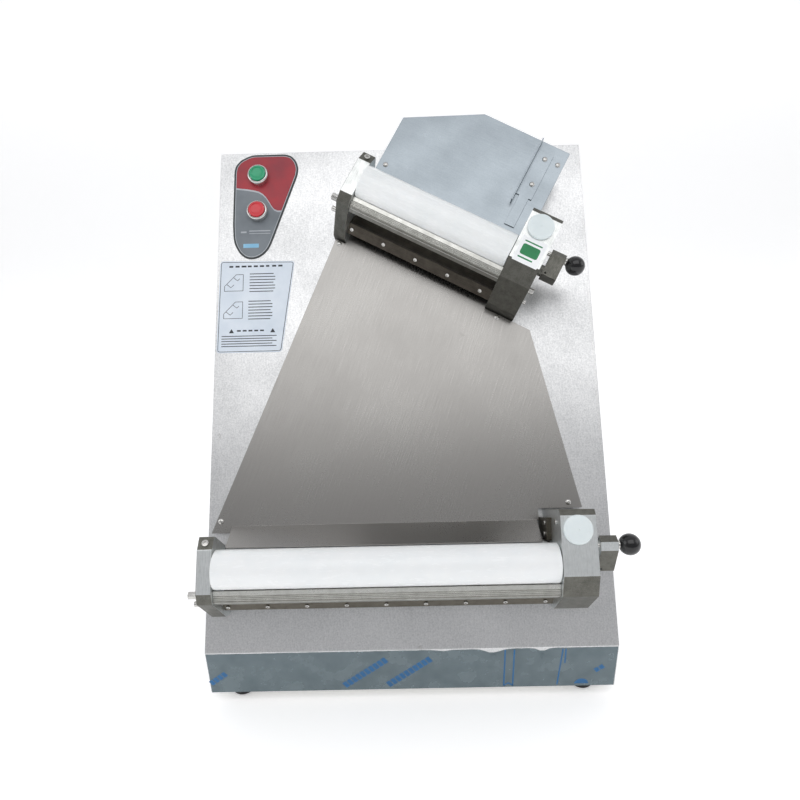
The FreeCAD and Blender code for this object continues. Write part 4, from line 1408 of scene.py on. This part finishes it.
@dataclass
class RollerUnit:
    """One pair of rollers with its end blocks, guard, scraper, gears, lever and drive."""

    name: str
    length: float
    gap: float
    lever_angle: float
    radius: float = ROLLER_RADIUS
    end_play: float = 0.8
    left_width: float = 17.8
    housing_width: float = 41.1
    lever_height: float = 62.0
    pin_reach: float = 27.0
    knob_radius: float = 12.5
    knob_centre: float = 80.5

    def __post_init__(self) -> None:
        """Finds the unit's frame and its front rollers' height."""
        self.bench = UNITS[self.name]
        self.front = REAR_HEIGHT + 2 * self.radius + self.gap
        self.slanted = self.name == "upper"

    def piece(self, name: str) -> str:
        """The unit's name for one of its pieces."""
        return f"{self.name}_{name}"

    def copy(self, node: str, name: str, body: str, finish: Finish, width: float = 0.4) -> Piece:
        """A rounded copy of one of the unit's designed parts."""
        return dressed_copy(self.piece(node), self.piece(name), body, finish, width)

    def milled(self, node: str, name: str, body: str) -> Piece:
        """A milled part with crisp chamfers, its upper and lower faces in a darker copy of its
        finish: painted shade.

        Args:
            node: The part it stands for.
            name: Its name.
            body: The body it moves with.

        Returns:
            The piece.
        """
        bright = Finish.BLOCK_UPPER if self.slanted else Finish.BLOCK
        # The darker copy paints shade on the faces turned up or down the slope.
        shade = Finish.BLOCK_SHADE_UPPER if self.slanted else Finish.BLOCK_SHADE
        piece = dressed_copy(self.piece(node), self.piece(name), body, bright, 0.45,
                             degrees=CHAMFER_ANGLE)

        def turned_away(normal: Vector) -> bool:
            """Whether a face looks up or down the slope rather than outwards or sideways."""
            return normal.dot(self.bench.out) < 0.94 and abs(normal.dot(self.bench.across)) < 0.5

        return PALETTE.accent(piece, shade, turned_away)

    def build(self) -> None:
        """Builds every piece of the unit."""
        self.milled("left_block", "milled_left_block", STATIC)
        self.milled("gear_housing", "milled_gear_housing", STATIC)
        # The upper unit's scraper and cheek plate take the darker copy of the steel: painted
        # shade.
        scraper = Finish.SCRAPER_UPPER if self.slanted else Finish.SCRAPER
        self.copy("cheek_plate", "inner_cheek_plate", STATIC, scraper, 0.3)
        self.copy("bearing_slides", "sliding_bearings", self.piece("bearing_carriage"),
                  Finish.BRIGHT, 0.3)
        self.copy("scraper", "scraper_bar", STATIC, scraper, 0.3)
        self.build_rollers()
        self.build_gears()
        self.build_guard()
        self.build_plug()
        self.build_lever()
        self.build_drive()

    def turned(self, node: str, name: str, body: str, finish: Finish, height: float,
               profile: list[tuple[float, float]], steps: int = 64) -> Piece:
        """A turned piece lying along the unit, in place of a designed part.

        Args:
            node: The part it stands for.
            name: Its name.
            body: The body it moves with.
            finish: Its finish.
            height: Its axis's height.
            profile: Radius and distance along the unit, in millimetres.
            steps: The facets round it.

        Returns:
            The piece.
        """
        piece = lathe(self.piece(name), profile, steps)
        seat(piece, facing(self.bench, (1, 0, 0), (0, AXIS_OFFSET, height)))
        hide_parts(self.piece(node))
        return PALETTE.dress(piece, self.piece(body), finish)

    def build_rollers(self) -> None:
        """Both rollers, with chamfered ends and a bored core, and their shafts."""
        r, core = self.radius, 8.0
        left, right = -self.length + self.end_play, -self.end_play
        roller = Finish.ROLLER_UPPER if self.slanted else Finish.ROLLER
        for which, height, journal, end in (
                ("front", self.front, 5.0, 28.0), ("rear", REAR_HEIGHT, 6.0, 37.4)):
            shell = [(core + 0.02, left + 0.6), (core + 1, left), (r - 1.4, left),
                     (r - 0.4, left + 0.5), (r, left + 1.6), (r, right - 1.6),
                     (r - 0.4, right - 0.5), (r - 1.4, right), (core + 1, right),
                     (core + 0.02, right - 0.6), (core + 0.02, left + 0.6)]
            self.turned(f"{which}_roller", f"{which}_white_roller", f"{which}_rolls", roller,
                        height, shell, 96)
            tail = -self.length - 12.5
            bar = [(0, tail), (journal - 0.6, tail), (journal, tail + 0.6), (journal, left - 0.1),
                   (core, left), (core, right), (journal, right + 0.1), (journal, end - 0.6),
                   (journal - 0.6, end), (0, end)]
            self.turned(f"{which}_shaft", f"{which}_turned_shaft", f"{which}_rolls",
                        Finish.BRIGHT, height, bar, 48)

    def build_gears(self) -> None:
        """The four gears, with their edges broken."""
        for node, body in (("front_gear", "front_rolls"), ("drive_gear", "rear_rolls"),
                           ("transfer_gear", "transfer_wheel"), ("idler_gear", "idler_wheel")):
            self.copy(node, f"{node}_steel", self.piece(body), Finish.GEAR, 0.18)

    def build_guard(self) -> None:
        """The extruded finger guard, with the fine ribs along its front; its faces not turned
        straight out take a darker copy of the aluminium: painted shade.
        """
        ribs = []
        first, last = Vector((-26.8, 75.1)), Vector((-34.4, 73.4))
        side = (last - first).normalized()
        inward = Vector((side.y, -side.x))
        if inward.y > 0:
            inward = -inward
        count = 4
        for i in range(count):
            for t, deep in ((0.15, 0.0), (0.3, 0.75), (0.62, 0.75), (0.78, 0.0)):
                spot = first + side * (last - first).length * (i + t) / count + inward * deep
                ribs.append((spot.x, spot.y))
        outline = ([(-21.8, 76), (-26.3, 75.2)] + ribs
                   + [(-34.8, 73.3), (-35.9, 70.6), (-35.4, 70.1), (-35.6, 69.6), (-36.4, 69.5),
                      (-38.5, 64), (-35.5, 63), (-32.6, 69.3), (-25.9, 71.2), (-21.8, 72.2)])
        guard = outline_solid(self.piece("ribbed_guard"), outline, self.length - 0.4,
                              -self.length + 0.2, Plane.SECTION)
        seat(guard, self.bench)
        soften(guard, 0.15, 1)
        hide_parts(self.piece("finger_guard"))
        PALETTE.dress(guard, STATIC, Finish.GUARD_UPPER if self.slanted else Finish.GUARD)
        # Faces not turned straight out get the darker copy: painted shade.
        PALETTE.accent(guard, Finish.GUARD_SHADE,
                       lambda normal: normal.dot(self.bench.out) < GUARD_PAINTED_SHADE_LIMIT)

    def build_plug(self) -> None:
        """The white plug in the housing's face, with a centre dimple."""
        plug = lathe(self.piece("white_plug"), [
            (0, 86), (13.4, 86), (14, 86.6), (14, 91.5), (16.4, 91.65), (16.8, 92.1),
            (16.8, 94.6), (16.3, 95.3), (15.6, 95.55), (8, 95.6), (0.9, 95.6), (0.6, 95.2),
            (0, 95.1)], 80)
        seat(plug, self.bench, (19.25, 39.75, 0))
        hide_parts(self.piece("face_plug"))
        PALETTE.dress(plug, STATIC, Finish.PLUG)

    def build_lever(self) -> None:
        """The thickness lever, its index pin and its ball knob."""
        arm = self.piece("lever_arm")
        lever = self.milled("thickness_lever", "milled_lever", arm)
        # On the upper lever the outward faces take the darker copy as well: painted shade.
        if self.slanted:
            PALETTE.accent(lever, Finish.BLOCK_SHADE_UPPER,
                           lambda normal: normal.dot(self.bench.out) > 0.94)
        angle = math.radians(self.lever_angle)
        at = (AXIS_OFFSET + self.pin_reach * math.cos(angle),
              self.lever_height + self.pin_reach * math.sin(angle))
        seat_bench = facing(self.bench, (1, 0, 0), (0, *at))
        start = self.housing_width - 1.6
        pin = lathe(self.piece("index_plunger"), [
            (0, start), (2.4, start), (3, start + 0.8), (3, 66.4), (4.6, 66.4), (5, 66.8),
            (5, 68.2), (4.6, 68.6), (3, 68.6), (3, start + 28), (0, start + 28.5)], 40)
        seat(pin, seat_bench)
        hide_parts(self.piece("index_pin"))
        PALETTE.dress(pin, self.piece("plunger"), Finish.BRIGHT)
        r, middle = self.knob_radius, self.knob_centre
        neck_end = 68.6
        throat = math.acos((middle - neck_end - 1.2) / r)
        arc = []
        for i in range(30):
            turn = math.pi - throat - (math.pi - throat) * i / 29
            arc.append((r * math.sin(turn), middle + r * math.cos(turn)))
        knob = lathe(self.piece("ball_knob"), [
            (3.05, neck_end), (5.2, neck_end), (5.4, neck_end + 0.5)] + arc[:-1]
            + [(0, middle + r), ], 64)
        seat(knob, seat_bench)
        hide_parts(self.piece("lever_knob"))
        PALETTE.dress(knob, self.piece("plunger"), Finish.KNOB)

    def build_drive(self) -> None:
        """The belt, the motor's pulley with its flanges, and the gearmotor."""
        self.copy("drive_belt", "flat_belt", STATIC, Finish.BELT, 0.3)
        self.copy("motor_pulley", "turned_motor_pulley", self.piece("motor_wheel"), Finish.GEAR,
                  0.4)
        self.copy("gearmotor", "enamelled_gearmotor", STATIC, Finish.MOTOR, 1.6)

    def screw_seats(self) -> dict[SocketScrew, list[Bench]]:
        """Where the unit's screws stand, by their kind."""
        b, length = self.bench, self.length
        left = -length - self.left_width
        seats: dict[SocketScrew, list[Bench]] = {}

        def stand(screw: SocketScrew, out: tuple[float, float, float],
                  at: tuple[float, float, float]) -> None:
            """Stands a screw of that kind at a place."""
            seats.setdefault(screw, []).append(facing(b, out, at))

        small = SocketScrew(2.6, 1.6)
        for i in range(int((length - 6) // 48.3) + 1):
            stand(small, (0, -0.793, 0.61), (-length + 6 + i * 48.3, -46, 31.5))
        stand(SocketScrew(5, 13.5, 6), (-1, 0, 0), (left, -27, 66 if not self.slanted else 60))
        stand(SocketScrew(3.5, 9), (-1, 0, 0), (left, -38, 57 if not self.slanted else 50))
        stand(SocketScrew(4.6, 7, 6), (1, 0, 0), (self.housing_width, -25, 52))
        stand(SocketScrew(3, 4), (1, 0, 0), (self.housing_width, -38, 41))
        for across, up in ((34, 36), (47, 40)):
            stand(small, (-1, 0, 0), (-6, across, up))
        for across, up in ((48, 70), (-28, 54)):
            stand(SocketScrew(3, 1.4), (-1, 0, 0), (0, across, up))
        stand(SocketScrew(4, 2), (0, 0.407, 0.913), (left + self.left_width / 2, 32.6, 79.6))
        return seats


@dataclass
class Screws:
    """Every socket screw on the machine, as one piece."""

    width: float = 520.0

    def build(self, units: list[RollerUnit]) -> None:
        """Builds the screws of the units and of the back cover.

        Args:
            units: The roller units.
        """
        seats: dict[SocketScrew, list[Bench]] = {}
        for unit in units:
            for screw, places in unit.screw_seats().items():
                seats.setdefault(screw, []).extend(places)
        low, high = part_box("back_cover")
        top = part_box("casing")[1].z
        bench = machine_bench()
        for x in (-self.width / 2 + 9, 0, self.width / 2 - 9):
            for z in (27, top / MM - 12):
                at = (x + (low.x + high.x) / 2 / MM, high.y / MM, z)
                seats.setdefault(SocketScrew(3.2, 2), []).append(facing(bench, (0, 1, 0), at))
        groups = [place_many(f"screws_{i}", screw.build(f"screw_master_{i}"), places)
                  for i, (screw, places) in enumerate(seats.items())]
        screws = weld("socket_head_screws", groups)
        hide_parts("socket_screws")
        PALETTE.dress(screws, STATIC, Finish.ZINC)


@dataclass
class Sticker:
    """A plain white inspection sticker on the upper housing, with green bars."""

    size: tuple[float, float] = (33.5, 36.0)

    def build(self, bench: Bench) -> None:
        """Builds the sticker.

        Args:
            bench: The upper unit's frame.
        """
        wide, tall = self.size
        at = (4.2, -14.0, 91.6)
        x, y = at[0], at[1]
        sheet = outline_solid("sticker_sheet", rounded(box_outline(x, y, wide, tall), 1.2, 3),
                              0.14, at[2])
        PALETTE.dress(seat(sheet, bench), STATIC, Finish.STICKER)
        bars = []
        bars.append(rounded(box_outline(x + 5, y + 11, wide - 10, 15), 3, 3))
        bars.append(box_outline(x + 5, y + 6, wide - 14, 2.0))
        bars.append(box_outline(x + 5, y + 29, wide - 10, 1.8))
        items = [outline_solid(f"sticker_bar_{i}", bar, 0.04, at[2] + 0.14)
                 for i, bar in enumerate(bars)]
        PALETTE.dress(seat(weld("sticker_print", items), bench), STATIC, Finish.GREEN_INK)


# ---- studio ---------------------------------------------------------------------------

@dataclass
class Studio:
    """The camera, a pale floor with a sweep behind it, and soft lights."""

    camera_at: tuple[float, float, float] = (-3.4, -788.9, 639.2)
    camera_turn: tuple[float, float, float] = (69.137, 1.457, 0.015)
    lens: float = 27.0
    floor_glow: float = 0.32

    def build(self) -> None:
        """Builds the studio."""
        self.floor()
        self.lights()
        self.camera()

    def camera(self) -> None:
        """The camera, standing before the machine and looking slightly down."""
        data = bpy.data.cameras.new("front_camera")
        data.lens = self.lens
        data.sensor_width = 36
        camera = bpy.data.objects.new("front_camera", data)
        camera.location = Vector(self.camera_at) * MM
        camera.rotation_euler = Euler([math.radians(a) for a in self.camera_turn])
        bpy.context.scene.collection.objects.link(camera)
        bpy.context.scene.camera = camera

    def floor(self) -> None:
        """A wide pale floor that sweeps up behind the machine, faintly lit of itself."""
        turn, back, rise, wide, thick = 1200.0, 2200.0, 5200.0, 40000.0, 20.0
        bend = [math.radians(90 * i / 24) for i in range(25)]
        top = [(-5000.0, -0.6)]
        top += [(back + turn * math.sin(a), turn * (1 - math.cos(a)) - 0.6) for a in bend]
        top.append((back + turn, rise))
        under = [(back + turn + thick, rise), (back + turn + thick, -thick), (-5000.0, -thick)]
        sweep = outline_solid("studio_sweep", top[::-1] + under[::-1], wide, -wide / 2,
                              Plane.SECTION)
        smooth(sweep)
        w = Weave("pale_sweep")
        w.set(Base_Color=srgb("fafafa"), Roughness=0.9, Emission_Color=srgb("ffffff"),
              Emission_Strength=self.floor_glow)
        sweep.data.materials.append(w.material)

    def light(self, name: str, at: tuple[float, float, float], aim: tuple[float, float, float],
              size: tuple[float, float], power: float, colour: str = "ffffff") -> None:
        """One soft rectangular light.

        Args:
            name: Its name.
            at: Its place in metres.
            aim: What it points at.
            size: Its width and height in metres.
            power: Its power in watts.
            colour: Its colour.
        """
        data = bpy.data.lights.new(name, "AREA")
        data.shape = "RECTANGLE"
        data.size, data.size_y = size
        data.energy = power
        data.color = srgb(colour)[:3]
        lamp = bpy.data.objects.new(name, data)
        lamp.location = at
        lamp.rotation_euler = (Vector(aim) - Vector(at)).to_track_quat("-Z", "Y").to_euler()
        bpy.context.scene.collection.objects.link(lamp)

    def lights(self) -> None:
        """A broad light above the front, a fill on each side, and a pale sky."""
        self.light("overhead_front", (0.1, -1.3, 2.3), (0, 0, 0.3), (2.6, 1.6), 16)
        self.light("left_window", (-2.2, -0.6, 1.4), (0, 0, 0.3), (1.4, 1.4), 7)
        self.light("right_fill", (2.2, -0.4, 1.3), (0, 0, 0.3), (1.2, 1.2), 4)
        world = bpy.data.worlds.new("pale_sky")
        world.use_nodes = True
        tree = world.node_tree
        back = tree.nodes["Background"]
        place = tree.nodes.new("ShaderNodeTexCoord")
        split = tree.nodes.new("ShaderNodeSeparateXYZ")
        tree.links.new(place.outputs["Generated"], split.inputs[0])
        ramp = tree.nodes.new("ShaderNodeMapRange")
        for key, value in (("From Min", -0.75), ("From Max", 0.35), ("To Min", 0.42),
                           ("To Max", 0.82)):
            ramp.inputs[key].default_value = value
        tree.links.new(split.outputs[1], ramp.inputs["Value"])
        tree.links.new(ramp.outputs[0], back.inputs["Strength"])
        back.inputs["Color"].default_value = srgb("fbfcff")
        bpy.context.scene.world = world
        bpy.context.scene.view_settings.view_transform = "Standard"


def main() -> None:
    """Builds the machine and its studio in order."""
    logging.basicConfig(level=logging.INFO, format="%(name)s: %(message)s")
    Studio().build()
    Casing().build()
    Controls().build()
    Plates().build()
    units = [RollerUnit("lower", 402.5, 1.36, 43.0), RollerUnit("upper", 215.1, 4.0, -5.0)]
    for unit in units:
        unit.build()
    Screws().build(units)
    Sticker().build(UNITS["upper"])


if __name__ == "__main__":
    main()
